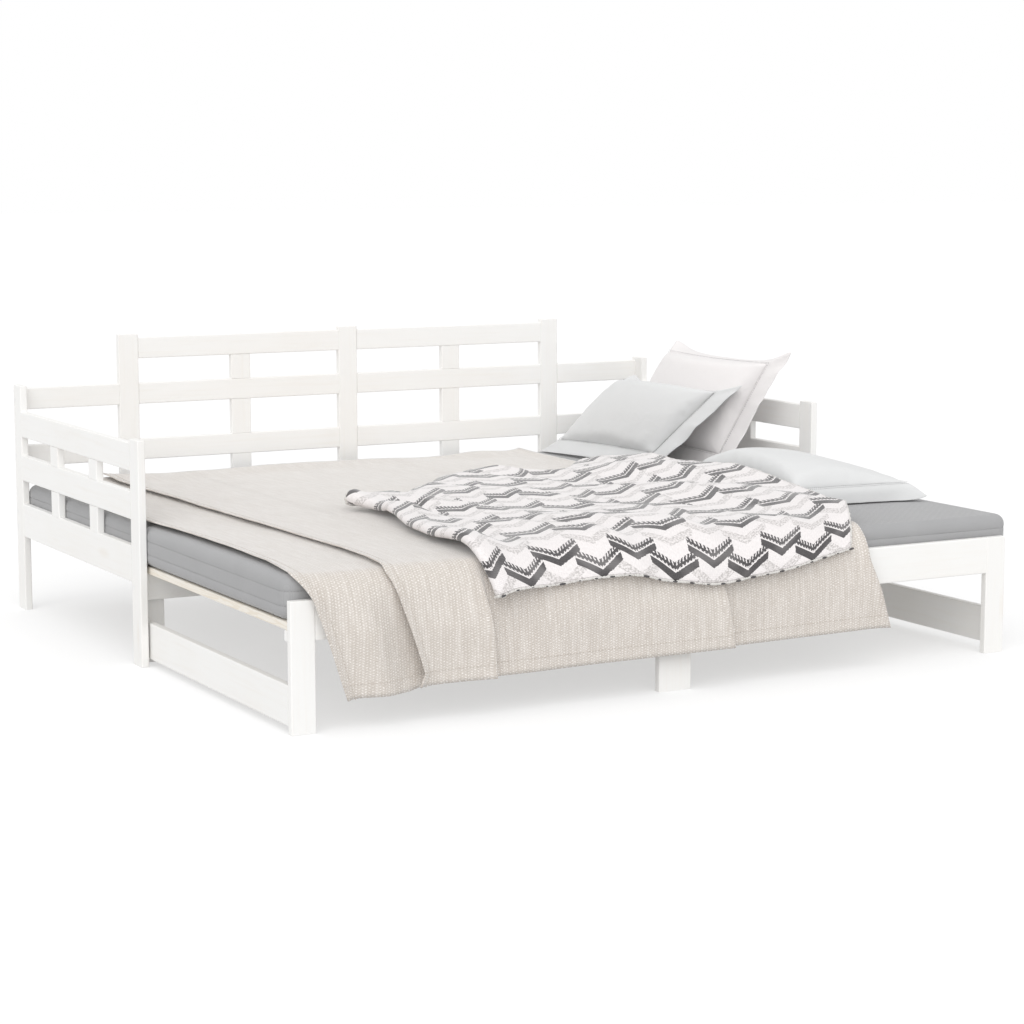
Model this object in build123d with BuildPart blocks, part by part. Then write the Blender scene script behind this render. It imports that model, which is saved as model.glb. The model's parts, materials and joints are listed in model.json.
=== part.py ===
from build123d import *
import math
import os

# Pull-out day bed in painted pine, standing pulled out to a double, with its bedding.
# Millimetres. +X runs along the bed, -Y is the front, +Z is up. The origin is on the
# floor, under the middle of the pulled-out bed and its bedding. "Depth" is a distance
# from the back of the bed towards the front.

# Mattresses
mattress_length = 2000.0
mattress_width = 900.0
mattress_thick = 100.0
mattress_corner = 36.0
mattress_edge = 24.0
mattress_end_play = 1.0
mattress_front_play = 4.0
seam_width = 4.0
seam_depth = 2.0
soft_gap = 0.3

# Boards and their joints
board_thick = 20.0
post_width = 60.0
edge_round = 3.0
top_round = 2.0
tenon_long = 12.0
tenon_thick = 8.0
tenon_shoulder = 8.0
tenon_play = 0.2

# Heights of the rails and the gaps between them
rail_underside = 208.0
deep_rail_height = 92.0
end_rail_height = 70.0
end_lower_gap = 66.0
end_upper_gap = 52.0
back_rail_height = 60.0
back_lower_gap = 100.0
back_middle_gap = 100.0
back_upper_gap = 70.0
post_horn = 10.0

# Divisions of the panels
back_bays = 6
end_windows = 3

# Slats and what carries them
slat_drop = 50.0
slat_thick = 18.0
slat_width = 60.0
sliding_slat_count = 12
slat_inset = 2.0
batten_thick = 14.0
beam_height = 70.0

# Pull-out frame
slide_play = 5.0
run_gap = 2.5
slide_gap = 0.3
leg_width = 60.0
centre_leg_width = 90.0
stretcher_lift = 18.0

# Connector bolts, barrel nuts and cover caps
bolt_radius = 3.0
bolt_head_radius = 6.5
bolt_head_thick = 4.0
bolt_reach = 46.0
nut_radius = 5.0
nut_length = 14.0
nut_inset = 34.0
cap_radius = 7.0
cap_thick = 2.0
bolt_play = 0.2
bolt_pitch = 44.0

# Slat screws
screw_radius = 1.75
screw_head_radius = 4.0
screw_head_angle = 82.0
screw_bite = 12.0
screw_play = 0.15

# Bedding
cloth_thick = 4.0
blanket_left = 62.0
blanket_width = 1340.0
spread_left = 228.0
spread_width = 1360.0
cloth_back = 34.0
blanket_hem = 76.0
spread_hem = 92.0
blanket_folds = (7.0, 1.5, 1.0, 1.0, 1.0, 1.0, 1.0, 1.0, 1.0)
spread_folds = (4.0, 13.0, 4.0, 11.0, 5.0, 8.0, 14.0, 5.0, 9.0)
throw_left = 470.0
throw_hem = 268.0
throw_steps = (70.0, 80.0, 180.0, 230.0, 280.0, 210.0)
throw_backs = (1610.0, 1440.0, 900.0, 640.0, 470.0, 370.0, 366.0)
throw_tail = 160.0
throw_tail_front = 880.0
pillow_flange = 46.0
flange_thick = 4.0
pillow_swell = (0.0, 0.12, 0.3, 0.5, 0.7, 0.88, 1.0)
pillow_draw = 0.035
pillow_tip = 3.0

# Lengths along the bed
inside_length = mattress_length + 2 * mattress_end_play
bed_length = inside_length + 2 * board_thick
inner = inside_length / 2
outer = bed_length / 2
trundle_half = inner - slide_play

# Depths, counted from the back of the bed
open_depth = 2 * board_thick + 2 * mattress_width + 2 * soft_gap + mattress_front_play
stack_depth = 4 * board_thick + 2 * batten_thick + 3 * run_gap
end_depth = (open_depth + stack_depth) / 2
travel = open_depth - end_depth
batten_front = board_thick + batten_thick
rear_beam_back = batten_front + run_gap + travel
rear_beam_front = rear_beam_back + board_thick
cross_beam_back = rear_beam_front + run_gap
cross_beam_front = cross_beam_back + board_thick
front_rail_back = open_depth - board_thick

# Heights
rail_top = rail_underside + deep_rail_height
slat_top = rail_top - slat_drop
slat_bottom = slat_top - slat_thick
slide_bottom = slat_bottom + slide_gap
rear_beam_top = slat_bottom - slide_gap
slide_top = slide_bottom + slat_thick
beam_bottom = slat_bottom - beam_height
mattress_bottom = slide_top + soft_gap
mattress_top = mattress_bottom + mattress_thick
end_middle_low = rail_top + end_lower_gap
end_middle_top = end_middle_low + end_rail_height
end_top_low = end_middle_top + end_upper_gap
end_top = end_top_low + end_rail_height
arm_top = end_top + post_horn
back_lower_low = rail_top + back_lower_gap
back_lower_top = back_lower_low + back_rail_height
back_middle_low = back_lower_top + back_middle_gap
back_middle_top = back_middle_low + back_rail_height
back_top_low = back_middle_top + back_upper_gap
back_top = back_top_low + back_rail_height
corner_top = back_middle_top + post_horn
tall_top = back_top + post_horn

# The bedding reaches furthest forward where the deepest fold of the bedspread hangs
layer_step = cloth_thick + soft_gap
front_reach = open_depth + soft_gap + layer_step + cloth_thick + max(spread_folds)
back_y = front_reach / 2

os.makedirs("parts", exist_ok=True)


def keep(piece, label):
    """Name a finished piece and write it."""
    piece.part.label = label
    export_step(piece.part, f"parts/{label}.step")


def at_depth(near, far):
    """The Y limits between two depths from the back of the bed."""
    return (back_y - far, back_y - near)


def block(x, y, z, mode=Mode.ADD):
    """A box between three pairs of limits."""
    limits = (x, y, z)
    middle = tuple((low + high) / 2 for low, high in limits)
    with Locations(middle):
        Box(*(high - low for low, high in limits), mode=mode)


def tenons(box, run):
    """The stub tenons on the low and the high end of a board that runs along axis 0, 1 or 2."""
    size = [high - low for low, high in box]
    thin, wide = sorted((axis for axis in range(3) if axis != run), key=lambda axis: size[axis])
    centre = sum(box[thin]) / 2
    stubs = []
    for end, past in ((box[run][0], -tenon_long), (box[run][1], tenon_long)):
        stub = [None, None, None]
        stub[run] = (min(end, end + past), max(end, end + past))
        stub[thin] = (centre - tenon_thick / 2, centre + tenon_thick / 2)
        stub[wide] = (box[wide][0] + tenon_shoulder, box[wide][1] - tenon_shoulder)
        stubs.append(tuple(stub))
    return stubs


def mortise(stub):
    """The pocket that a stub tenon sits in."""
    return tuple((low - tenon_play, high + tenon_play) for low, high in stub)


def inward(side, x, y, z):
    """A place whose own Z axis points into the bed, along X."""
    return Location((x, y, z), (0, -90 * side, 0))


def bar(places, radius, length, mode=Mode.ADD):
    """A round bar, or its hole, that starts at each place and runs along its own Z axis."""
    with Locations(*places):
        Cylinder(radius, length, align=(Align.CENTER, Align.CENTER, Align.MIN), mode=mode)


def boards(label, boxes, run, stubs=(), pockets=(), horn=False, drill=None):
    """Planed boards along one axis: long edges rounded, tenons added, mortises and holes cut."""
    with BuildPart() as piece:
        for box in boxes:
            block(*box)
        fillet(piece.edges().filter_by((Axis.X, Axis.Y, Axis.Z)[run]), edge_round)
        if horn:
            fillet(piece.faces().sort_by(Axis.Z)[-1].edges(), top_round)
        for stub in stubs:
            block(*stub)
        for stub in pockets:
            block(*mortise(stub), mode=Mode.SUBTRACT)
        if drill:
            drill()
    keep(piece, label)


# Connector bolts: where each one passes through an end panel, as (Y, Z)
back_board = at_depth(0, board_thick)
back_board_mid = sum(back_board) / 2
cross_beam_y = at_depth(cross_beam_back, cross_beam_front)
cross_beam_mid = sum(cross_beam_y) / 2
rear_rail_mid = rail_underside + deep_rail_height / 2
rear_rail_bolts = [(back_board_mid, rear_rail_mid + way * bolt_pitch / 2) for way in (-1, 1)]
lower_rail_bolts = [(back_board_mid, (back_lower_low + back_lower_top) / 2)]
middle_rail_bolts = [(back_board_mid, (back_middle_low + back_middle_top) / 2)]
beam_bolts = [(cross_beam_mid, slat_bottom - beam_height / 2)]
rear_post_bolts = rear_rail_bolts + lower_rail_bolts + middle_rail_bolts
all_bolts = rear_post_bolts + beam_bolts


def drill_post(side, bolts):
    """Through holes for bolts, sunk for their heads and caps, in the outer face of a post."""
    places = [inward(side, side * outer, y, z) for y, z in bolts]
    bar(places, bolt_radius + bolt_play, board_thick, Mode.SUBTRACT)
    bar(places, cap_radius + bolt_play, cap_thick + bolt_head_thick, Mode.SUBTRACT)


def drill_end(side, bolts):
    """Bolt holes in the end of a rail, and the cross holes for their barrel nuts."""
    ends = [inward(side, side * inner, y, z) for y, z in bolts]
    bar(ends, bolt_radius + bolt_play, bolt_reach + bolt_play, Mode.SUBTRACT)
    half = (board_thick + nut_length) / 2
    backs = [Location((side * (inner - nut_inset), y + board_thick / 2, z), (90, 0, 0)) for y, z in bolts]
    bar(backs, nut_radius + bolt_play, half + bolt_play, Mode.SUBTRACT)


# End panels
window = (end_depth - (end_windows + 1) * post_width) / end_windows
for side, hand in ((-1, "left"), (1, "right")):
    across = (min(side * inner, side * outer), max(side * inner, side * outer))
    rear_post = (across, at_depth(0, post_width), (0, corner_top))
    front_post = (across, at_depth(end_depth - post_width, end_depth), (0, arm_top))
    between = at_depth(post_width, end_depth - post_width)
    top_rail = (across, between, (end_top_low, end_top))
    middle_rail = (across, between, (end_middle_low, end_middle_top))
    bottom_rail = (across, between, (rail_underside, rail_top))
    starts = [number * (window + post_width) for number in range(1, end_windows)]
    uprights = [at_depth(start, start + post_width) for start in starts]
    upper_stiles = [(across, y, (end_middle_top, end_top_low)) for y in uprights]
    lower_stiles = [(across, y, (rail_top, end_middle_low)) for y in uprights]

    rails = {"top_rail": top_rail, "middle_rail": middle_rail, "bottom_rail": bottom_rail}
    rail_stubs = {name: tenons(box, 1) for name, box in rails.items()}
    upper_stubs = [tenons(box, 2) for box in upper_stiles]
    lower_stubs = [tenons(box, 2) for box in lower_stiles]
    rail_pockets = {
        "top_rail": [high for low, high in upper_stubs],
        "middle_rail": [low for low, high in upper_stubs] + [high for low, high in lower_stubs],
        "bottom_rail": [low for low, high in lower_stubs],
    }
    into_front = [stubs[0] for stubs in rail_stubs.values()]
    into_rear = [stubs[1] for stubs in rail_stubs.values()]
    boards(f"{hand}_rear_post", [rear_post], 2, pockets=into_rear, horn=True,
           drill=lambda: drill_post(side, rear_post_bolts))
    boards(f"{hand}_front_post", [front_post], 2, pockets=into_front, horn=True,
           drill=lambda: drill_post(side, beam_bolts))
    for name, box in rails.items():
        boards(f"{hand}_{name}", [box], 1, stubs=rail_stubs[name], pockets=rail_pockets[name])
    boards(f"{hand}_upper_stiles", upper_stiles, 2, stubs=sum(upper_stubs, []))
    boards(f"{hand}_lower_stiles", lower_stiles, 2, stubs=sum(lower_stubs, []))

# Back panel: five uprights between six equal bays, the outer and middle ones tall posts
bay = (inside_length - (back_bays - 1) * post_width) / back_bays
upright_x = [(number - back_bays / 2) * (bay + post_width) for number in range(1, back_bays)]
upright_spans = [(x - post_width / 2, x + post_width / 2) for x in upright_x]
post_numbers = {"left_tall_post": 0, "back_centre_post": back_bays // 2 - 1, "right_tall_post": back_bays - 2}
stile_numbers = [number for number in range(back_bays - 1) if number not in post_numbers.values()]
back_levels = {
    "top": (back_top_low, back_top),
    "middle": (back_middle_low, back_middle_top),
    "lower": (back_lower_low, back_lower_top),
}
stile_levels = {
    "upper": (back_middle_top, back_top_low),
    "middle": (back_lower_top, back_middle_low),
    "lower": (rail_top, back_lower_low),
}
post_spans = [upright_spans[number] for number in post_numbers.values()]
main_spans = {"left": (post_spans[0][1], post_spans[1][0]), "right": (post_spans[1][1], post_spans[2][0])}
outer_spans = {"left": (-inner, post_spans[0][0]), "right": (post_spans[2][1], inner)}
outer_bolts = {"middle": middle_rail_bolts, "lower": lower_rail_bolts}
side_of = {"left": -1, "right": 1}

stile_stubs = {}
for level, z in stile_levels.items():
    stiles = [(upright_spans[number], back_board, z) for number in stile_numbers]
    stile_stubs[level] = [tenons(box, 2) for box in stiles]
    boards(f"back_{level}_stiles", stiles, 2, stubs=sum(stile_stubs[level], []))

pockets_above = {"middle": "upper", "lower": "middle"}
pockets_below = {"top": "upper", "middle": "middle", "lower": "lower"}
post_pockets = []
for level, z in back_levels.items():
    from_above = [low for low, high in stile_stubs.get(pockets_above.get(level), [])]
    from_below = [high for low, high in stile_stubs[pockets_below[level]]]
    for hand, span in main_spans.items():
        box = (span, back_board, z)
        stubs = tenons(box, 0)
        post_pockets += stubs
        pockets = [stub for stub in from_above + from_below if span[0] < stub[0][0] < span[1]]
        boards(f"{hand}_back_{level}_rail", [box], 0, stubs=stubs, pockets=pockets)
for level, bolts in outer_bolts.items():
    for hand, span in outer_spans.items():
        box = (span, back_board, back_levels[level])
        side = side_of[hand]
        stub = tenons(box, 0)[1 if side < 0 else 0]
        post_pockets.append(stub)
        boards(f"{hand}_outer_{level}_rail", [box], 0, stubs=[stub], drill=lambda: drill_end(side, bolts))

post_feet = []
for name, number in post_numbers.items():
    box = (upright_spans[number], back_board, (rail_top, tall_top))
    foot = tenons(box, 2)[0]
    post_feet.append(foot)
    low, high = upright_spans[number]
    pockets = [stub for stub in post_pockets if stub[0][0] < high and stub[0][1] > low]
    boards(name, [box], 2, stubs=[foot], pockets=pockets, horn=True)

# Rear bed rail, which the back panel stands on
rear_rail = ((-inner, inner), back_board, (rail_underside, rail_top))
stile_feet = [low for low, high in stile_stubs["lower"]]


def drill_rear_rail():
    """Bolt and nut holes in both ends of the rear rail."""
    for side in side_of.values():
        drill_end(side, rear_rail_bolts)


boards("rear_bed_rail", [rear_rail], 0, pockets=post_feet + stile_feet, drill=drill_rear_rail)

# Slats: the sliding ones run between the fixed ones
slat_total = 2 * sliding_slat_count - 1
slat_reach = trundle_half - slat_inset - slat_width / 2
slat_pitch = 2 * slat_reach / (slat_total - 1)
slat_x = [number * slat_pitch - slat_reach for number in range(slat_total)]
sliding_x = slat_x[0::2]
fixed_x = slat_x[1::2]


def screw_places(centres, depths, z):
    """Points on top of the slats, one screw over each thing that carries them."""
    return [(x, back_y - depth, z) for x in centres for depth in depths]


def slats(label, centres, depths, low, screws):
    """Slats between two depths, sunk for their screws."""
    with BuildPart() as piece:
        for x in centres:
            block((x - slat_width / 2, x + slat_width / 2), at_depth(*depths), (low, low + slat_thick))
        fillet(piece.edges().filter_by(Axis.Y), edge_round)
        with Locations(*screws):
            CounterSinkHole(screw_radius + screw_play, screw_head_radius + screw_play, slat_thick,
                            counter_sink_angle=screw_head_angle)
    keep(piece, label)


def slat_screws(label, tops):
    """Countersunk screws with their heads level with the slats."""
    shank = slat_thick + screw_bite
    head = (screw_head_radius - screw_radius) / math.tan(math.radians(screw_head_angle / 2))
    from_top = (Align.CENTER, Align.CENTER, Align.MAX)
    with BuildPart() as piece:
        with Locations(*tops):
            Cylinder(screw_radius, shank, align=from_top)
            Cone(screw_radius, screw_head_radius, head, align=from_top)
    keep(piece, label)


def pilot_holes(points):
    """Holes for the slat screws in what carries the slats."""
    with Locations(*points):
        Hole(screw_radius + screw_play, screw_bite + screw_play)


fixed_depths = (board_thick + batten_thick / 2, cross_beam_back + board_thick / 2)
sliding_depths = (rear_beam_back + board_thick / 2, front_rail_back - batten_thick / 2)
fixed_screws = screw_places(fixed_x, fixed_depths, slat_top)
sliding_screws = screw_places(sliding_x, sliding_depths, slide_top)
slats("fixed_slats", fixed_x, (board_thick, cross_beam_front), slat_bottom, fixed_screws)
slats("sliding_slats", sliding_x, (rear_beam_back, front_rail_back), slide_bottom, sliding_screws)
slat_screws("fixed_slat_screws", fixed_screws)
slat_screws("sliding_slat_screws", sliding_screws)

# What carries the fixed slats: a batten on the rear rail, and a cross beam with a centre leg
rear_batten = ((-inner, inner), at_depth(board_thick, batten_front), (rail_underside, slat_bottom))
boards("rear_batten", [rear_batten], 0,
       drill=lambda: pilot_holes(screw_places(fixed_x, fixed_depths[:1], slat_bottom)))
cross_beam = ((-inner, inner), cross_beam_y, (beam_bottom, slat_bottom))
beam_leg = ((-leg_width / 2, leg_width / 2), cross_beam_y, (0, beam_bottom))
beam_leg_stub = tenons(beam_leg, 2)[1]


def drill_cross_beam():
    """Pilot holes for the fixed slats, and bolt holes in both ends."""
    pilot_holes(screw_places(fixed_x, fixed_depths[1:], slat_bottom))
    for side in side_of.values():
        drill_end(side, beam_bolts)


boards("cross_beam", [cross_beam], 0, pockets=[beam_leg_stub], drill=drill_cross_beam)
boards("beam_centre_leg", [beam_leg], 2, stubs=[beam_leg_stub])

# Pull-out frame
front_plane = at_depth(front_rail_back, open_depth)
rear_plane = at_depth(rear_beam_back, rear_beam_front)
leg_inside = trundle_half - leg_width
front_rail = ((-leg_inside, leg_inside), front_plane, (rail_underside, rail_top))
rear_beam = ((-leg_inside, leg_inside), rear_plane, (rear_beam_top - beam_height, rear_beam_top))
centre_leg = ((-centre_leg_width / 2, centre_leg_width / 2), front_plane, (0, rail_underside))
centre_stub = tenons(centre_leg, 2)[1]
front_stubs = tenons(front_rail, 0)
rear_stubs = tenons(rear_beam, 0)
boards("front_rail", [front_rail], 0, stubs=front_stubs, pockets=[centre_stub])
boards("centre_front_leg", [centre_leg], 2, stubs=[centre_stub])
boards("rear_beam", [rear_beam], 0, stubs=rear_stubs,
       drill=lambda: pilot_holes(screw_places(sliding_x[1:-1], sliding_depths[:1], rear_beam_top)))
front_batten = ((-trundle_half, trundle_half), at_depth(front_rail_back - batten_thick, front_rail_back),
                (rail_underside + slide_gap, slide_bottom))
boards("front_batten", [front_batten], 0,
       drill=lambda: pilot_holes(screw_places(sliding_x, sliding_depths[1:], slide_bottom)))
stretcher_z = (stretcher_lift, stretcher_lift + deep_rail_height)
for number, (hand, side) in enumerate(side_of.items()):
    leg_x = tuple(sorted((side * leg_inside, side * trundle_half)))
    stretcher_x = tuple(sorted((side * (trundle_half - board_thick), side * trundle_half)))
    stretcher = (stretcher_x, at_depth(rear_beam_front, front_rail_back), stretcher_z)
    into_front, into_rear = tenons(stretcher, 1)
    end_slat = [sliding_x[0 if side < 0 else -1]]
    boards(f"{hand}_front_leg", [(leg_x, front_plane, (0, rail_top))], 2,
           pockets=[front_stubs[number], into_front], horn=True)
    boards(f"{hand}_rear_leg", [(leg_x, rear_plane, (0, rear_beam_top))], 2,
           pockets=[rear_stubs[number], into_rear],
           drill=lambda: pilot_holes(screw_places(end_slat, sliding_depths[:1], rear_beam_top)))
    boards(f"{hand}_stretcher", [stretcher], 1, stubs=[into_front, into_rear])

# Connector bolts, their barrel nuts and the caps over their heads
head_inset = outer - cap_thick
bolt_places = [(side, y, z) for side in side_of.values() for y, z in all_bolts]
with BuildPart() as frame_bolts:
    bar([inward(side, side * head_inset, y, z) for side, y, z in bolt_places], bolt_head_radius, bolt_head_thick)
    bar([inward(side, side * head_inset, y, z) for side, y, z in bolt_places],
        bolt_radius, head_inset - inner + bolt_reach)
keep(frame_bolts, "frame_bolts")

with BuildPart() as barrel_nuts:
    nut_places = [(side * (inner - nut_inset), y + nut_length / 2, z) for side, y, z in bolt_places]
    bar([Location(place, (90, 0, 0)) for place in nut_places], nut_radius, nut_length)
    thread_places = [inward(side, side * (inner - nut_inset + nut_radius), y, z) for side, y, z in bolt_places]
    bar(thread_places, bolt_radius + bolt_play / 2, 2 * nut_radius, Mode.SUBTRACT)
keep(barrel_nuts, "barrel_nuts")

with BuildPart() as bolt_caps:
    bar([inward(side, side * outer, y, z) for side, y, z in bolt_places], cap_radius, cap_thick)
keep(bolt_caps, "bolt_caps")


# Mattresses: a foam block with rounded corners and two sewn channels round its sides
def mattress(label, back):
    """A mattress whose back edge is at one depth."""
    middle = (0, back_y - back - mattress_width / 2)
    with BuildPart() as piece:
        with BuildSketch(Plane.XY.offset(mattress_bottom)):
            with Locations(middle):
                RectangleRounded(mattress_length, mattress_width, mattress_corner)
        extrude(amount=mattress_thick)
        fillet(piece.faces().filter_by(Axis.Z).edges(), mattress_edge)
        for share in (1, 2):
            seam_z = mattress_bottom + mattress_thick * share / 3
            with BuildSketch(Plane.XY.offset(seam_z - seam_width / 2)):
                with Locations(middle):
                    Rectangle(mattress_length + seam_width, mattress_width + seam_width)
                    RectangleRounded(mattress_length - 2 * seam_depth, mattress_width - 2 * seam_depth,
                                     mattress_corner - seam_depth, mode=Mode.SUBTRACT)
            extrude(amount=seam_width, mode=Mode.SUBTRACT)
    keep(piece, label)


rear_mattress_back = board_thick + soft_gap
front_mattress_back = rear_mattress_back + mattress_width + soft_gap
mattress("rear_mattress", rear_mattress_back)
mattress("front_mattress", front_mattress_back)
mattress_front = front_mattress_back + mattress_width


# Bedding that lies on the mattresses and hangs over the front rail
def depth_plane(x):
    """An upright plane across the bed at one X: its own axes are depth and height."""
    return Plane(origin=(x, back_y, 0), x_dir=(0, -1, 0), z_dir=(-1, 0, 0))


def hanging_section(x, layer, back, hem, fold):
    """One cross section of a cloth: flat on top, round the mattress edge, over the rail, down to its hem."""
    lift = soft_gap + layer * layer_step
    at_rail = open_depth + lift
    rail_level = rail_top + lift
    edge_depth = mattress_front - mattress_edge
    edge_level = mattress_top - mattress_edge
    inside = mattress_edge + lift
    outside = inside + cloth_thick
    bow = math.sqrt(0.5)
    with BuildSketch(depth_plane(x)) as section:
        with BuildLine():
            Polyline((edge_depth, edge_level + outside), (back, edge_level + outside),
                     (back, edge_level + inside), (edge_depth, edge_level + inside))
            ThreePointArc((edge_depth, edge_level + inside),
                          (edge_depth + inside * bow, edge_level + inside * bow),
                          (edge_depth + inside, edge_level))
            Polyline((edge_depth + inside, edge_level), (at_rail, rail_level), (at_rail + fold, hem),
                     (at_rail + fold + cloth_thick, hem), (at_rail + cloth_thick, rail_level),
                     (edge_depth + outside, edge_level))
            ThreePointArc((edge_depth + outside, edge_level),
                          (edge_depth + outside * bow, edge_level + outside * bow),
                          (edge_depth, edge_level + outside))
        make_face()
    return section.sketch


def hanging_cloth(label, left, width, layer, hem, folds):
    """A cloth across both mattresses, with its main folds along the hanging front."""
    step = width / (len(folds) - 1)
    sections = []
    for number, fold in enumerate(folds):
        sections.append(hanging_section(left - outer + number * step, layer, cloth_back, hem, fold))
    with BuildPart() as piece:
        loft(sections, ruled=True)
    keep(piece, label)


hanging_cloth("under_blanket", blanket_left, blanket_width, 0, blanket_hem, blanket_folds)
hanging_cloth("bedspread", spread_left, spread_width, 1, spread_hem, spread_folds)

# Throw: a slanting back edge, a hanging front and a tail towards the pillows
throw_x = [throw_left - outer]
for step in throw_steps:
    throw_x.append(throw_x[-1] + step)
throw_share = (rail_top + layer_step - throw_hem) / (rail_top + layer_step - spread_hem)
throw_fold = throw_share * max(spread_folds) + layer_step / 2
throw_sections = [hanging_section(x, 2, back, throw_hem, throw_fold) for x, back in zip(throw_x, throw_backs)]
with BuildPart() as throw:
    loft(throw_sections, ruled=True)
    throw_under = mattress_top + soft_gap + 2 * layer_step
    block((throw_x[-1], throw_x[-1] + throw_tail), at_depth(throw_backs[-1], throw_tail_front),
          (throw_under, throw_under + cloth_thick))
keep(throw, "throw_blanket")


# Pillows: a crowned body inside a flat sewn flange, drawn in between the corners
def pillow(label, low_near, low_far, high_near, high_far, swell, belly):
    """A pillow across four corner points, each (X, depth, Z), with its crowns on the two faces."""
    corners = [Vector(x, back_y - depth, z) for x, depth, z in (low_near, low_far, high_near, high_far)]
    near_low, far_low, near_high, far_high = corners

    def chord(u, margin):
        """The low and high ends of a cross section, a share u of the way from near to far."""
        low = near_low + (far_low - near_low) * u
        high = near_high + (far_high - near_high) * u
        tall = (high - low).length
        inset = pillow_draw * math.sin(math.pi * u) + margin / tall
        return low + (high - low) * inset, high - (high - low) * inset

    def section_plane(low, high):
        """A plane across the pillow: its own X axis runs up the pillow, its Y axis through it."""
        along = (far_low + far_high - near_low - near_high).normalized()
        upward = (high - low).normalized()
        across = (along - upward * along.dot(upward)).normalized()
        return Plane(origin=(low + high) * 0.5, x_dir=upward, z_dir=across)

    wide = ((far_low + far_high - near_low - near_high) * 0.5).length
    rim = pillow_flange / wide
    with BuildPart() as piece:
        for share in pillow_swell:
            low, high = chord(rim + share * (1 - 2 * rim), pillow_flange)
            half = (high - low).length / 2
            fullness = math.sqrt(math.sin(math.pi * share))
            crown = max(pillow_tip, swell * fullness)
            base = max(pillow_tip, belly * fullness)
            with BuildSketch(section_plane(low, high)):
                with BuildLine():
                    ThreePointArc((-half, 0), (0, crown), (half, 0))
                    ThreePointArc((half, 0), (0, -base), (-half, 0))
                make_face()
        loft()
        for share in (0.0, 0.25, 0.5, 0.75, 1.0):
            low, high = chord(share, 0)
            with BuildSketch(section_plane(low, high)):
                Rectangle((high - low).length, flange_thick)
        loft()
    keep(piece, label)


# Each pillow's place: corners as (distance in from the right end, depth, height over the mattress)
def from_right_end(corners):
    """Pillow corners in X, depth and Z."""
    return [(inner - inset, depth, mattress_top + height) for inset, depth, height in corners]


grey_pillow_corners = ((296.0, 602.0, 1.5), (322.0, 40.0, 1.5), (138.0, 836.0, 246.0), (138.0, 230.0, 238.0))
white_pillow_corners = ((120.0, 790.0, 0.9), (120.0, 200.0, 0.9), (20.0, 914.0, 362.0), (20.0, 312.0, 350.0))
flat_pillow_corners = ((30.0, 1508.0, 12.0), (30.0, 932.0, 12.0), (452.0, 1508.0, 12.0), (452.0, 932.0, 12.0))
pillow("grey_pillow", *from_right_end(grey_pillow_corners), swell=59.0, belly=59.0)
pillow("white_pillow", *from_right_end(white_pillow_corners), swell=60.0, belly=62.0)
pillow("flat_pillow", *from_right_end(flat_pillow_corners), swell=92.0, belly=11.6)

print(f"length {bed_length:.1f}, open depth {open_depth:.2f}, end depth {end_depth:.2f}, travel {travel:.3f}")
print(f"back at Y {back_y:.3f}, mattress top {mattress_top:.2f}, tall posts {tall_top:.1f}")
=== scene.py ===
import json
import math

import bpy
import numpy as np
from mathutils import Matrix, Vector, noise
from mathutils.bvhtree import BVHTree


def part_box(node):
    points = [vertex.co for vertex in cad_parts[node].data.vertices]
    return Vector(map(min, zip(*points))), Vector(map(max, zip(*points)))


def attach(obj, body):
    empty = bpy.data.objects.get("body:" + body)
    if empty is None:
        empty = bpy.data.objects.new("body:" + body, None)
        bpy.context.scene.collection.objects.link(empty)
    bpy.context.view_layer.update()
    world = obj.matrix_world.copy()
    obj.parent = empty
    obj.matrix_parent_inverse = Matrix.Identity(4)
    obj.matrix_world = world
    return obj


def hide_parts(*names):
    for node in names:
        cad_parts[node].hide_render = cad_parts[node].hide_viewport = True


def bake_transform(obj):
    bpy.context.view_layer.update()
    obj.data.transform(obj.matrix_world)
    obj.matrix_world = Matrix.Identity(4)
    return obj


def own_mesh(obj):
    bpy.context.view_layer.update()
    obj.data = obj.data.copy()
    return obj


# Looks of the pull-out day bed: paint, pine, mattresses, bedding and pillows.
# Metres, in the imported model's frame: +X along the bed, -Y to the front, +Z up.

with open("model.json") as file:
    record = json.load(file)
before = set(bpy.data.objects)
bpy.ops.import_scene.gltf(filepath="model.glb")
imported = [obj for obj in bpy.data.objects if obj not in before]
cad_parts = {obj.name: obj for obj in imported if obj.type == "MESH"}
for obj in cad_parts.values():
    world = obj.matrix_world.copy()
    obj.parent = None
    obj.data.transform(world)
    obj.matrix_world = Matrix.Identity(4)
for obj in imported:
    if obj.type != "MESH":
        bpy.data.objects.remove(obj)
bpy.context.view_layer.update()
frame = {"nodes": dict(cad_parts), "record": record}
scene = bpy.context.scene
scene.view_settings.view_transform = "Standard"

# The bed, read from the frame
front_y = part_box("front_rail")[0].y
rail_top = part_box("front_rail")[1].z
mattress_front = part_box("front_mattress")[0].y
mattress_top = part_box("front_mattress")[1].z
mattress_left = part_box("front_mattress")[0].x
right_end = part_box("right_top_rail")[0].x
back_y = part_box("rear_bed_rail")[1].y
left_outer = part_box("left_rear_post")[0].x


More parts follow.
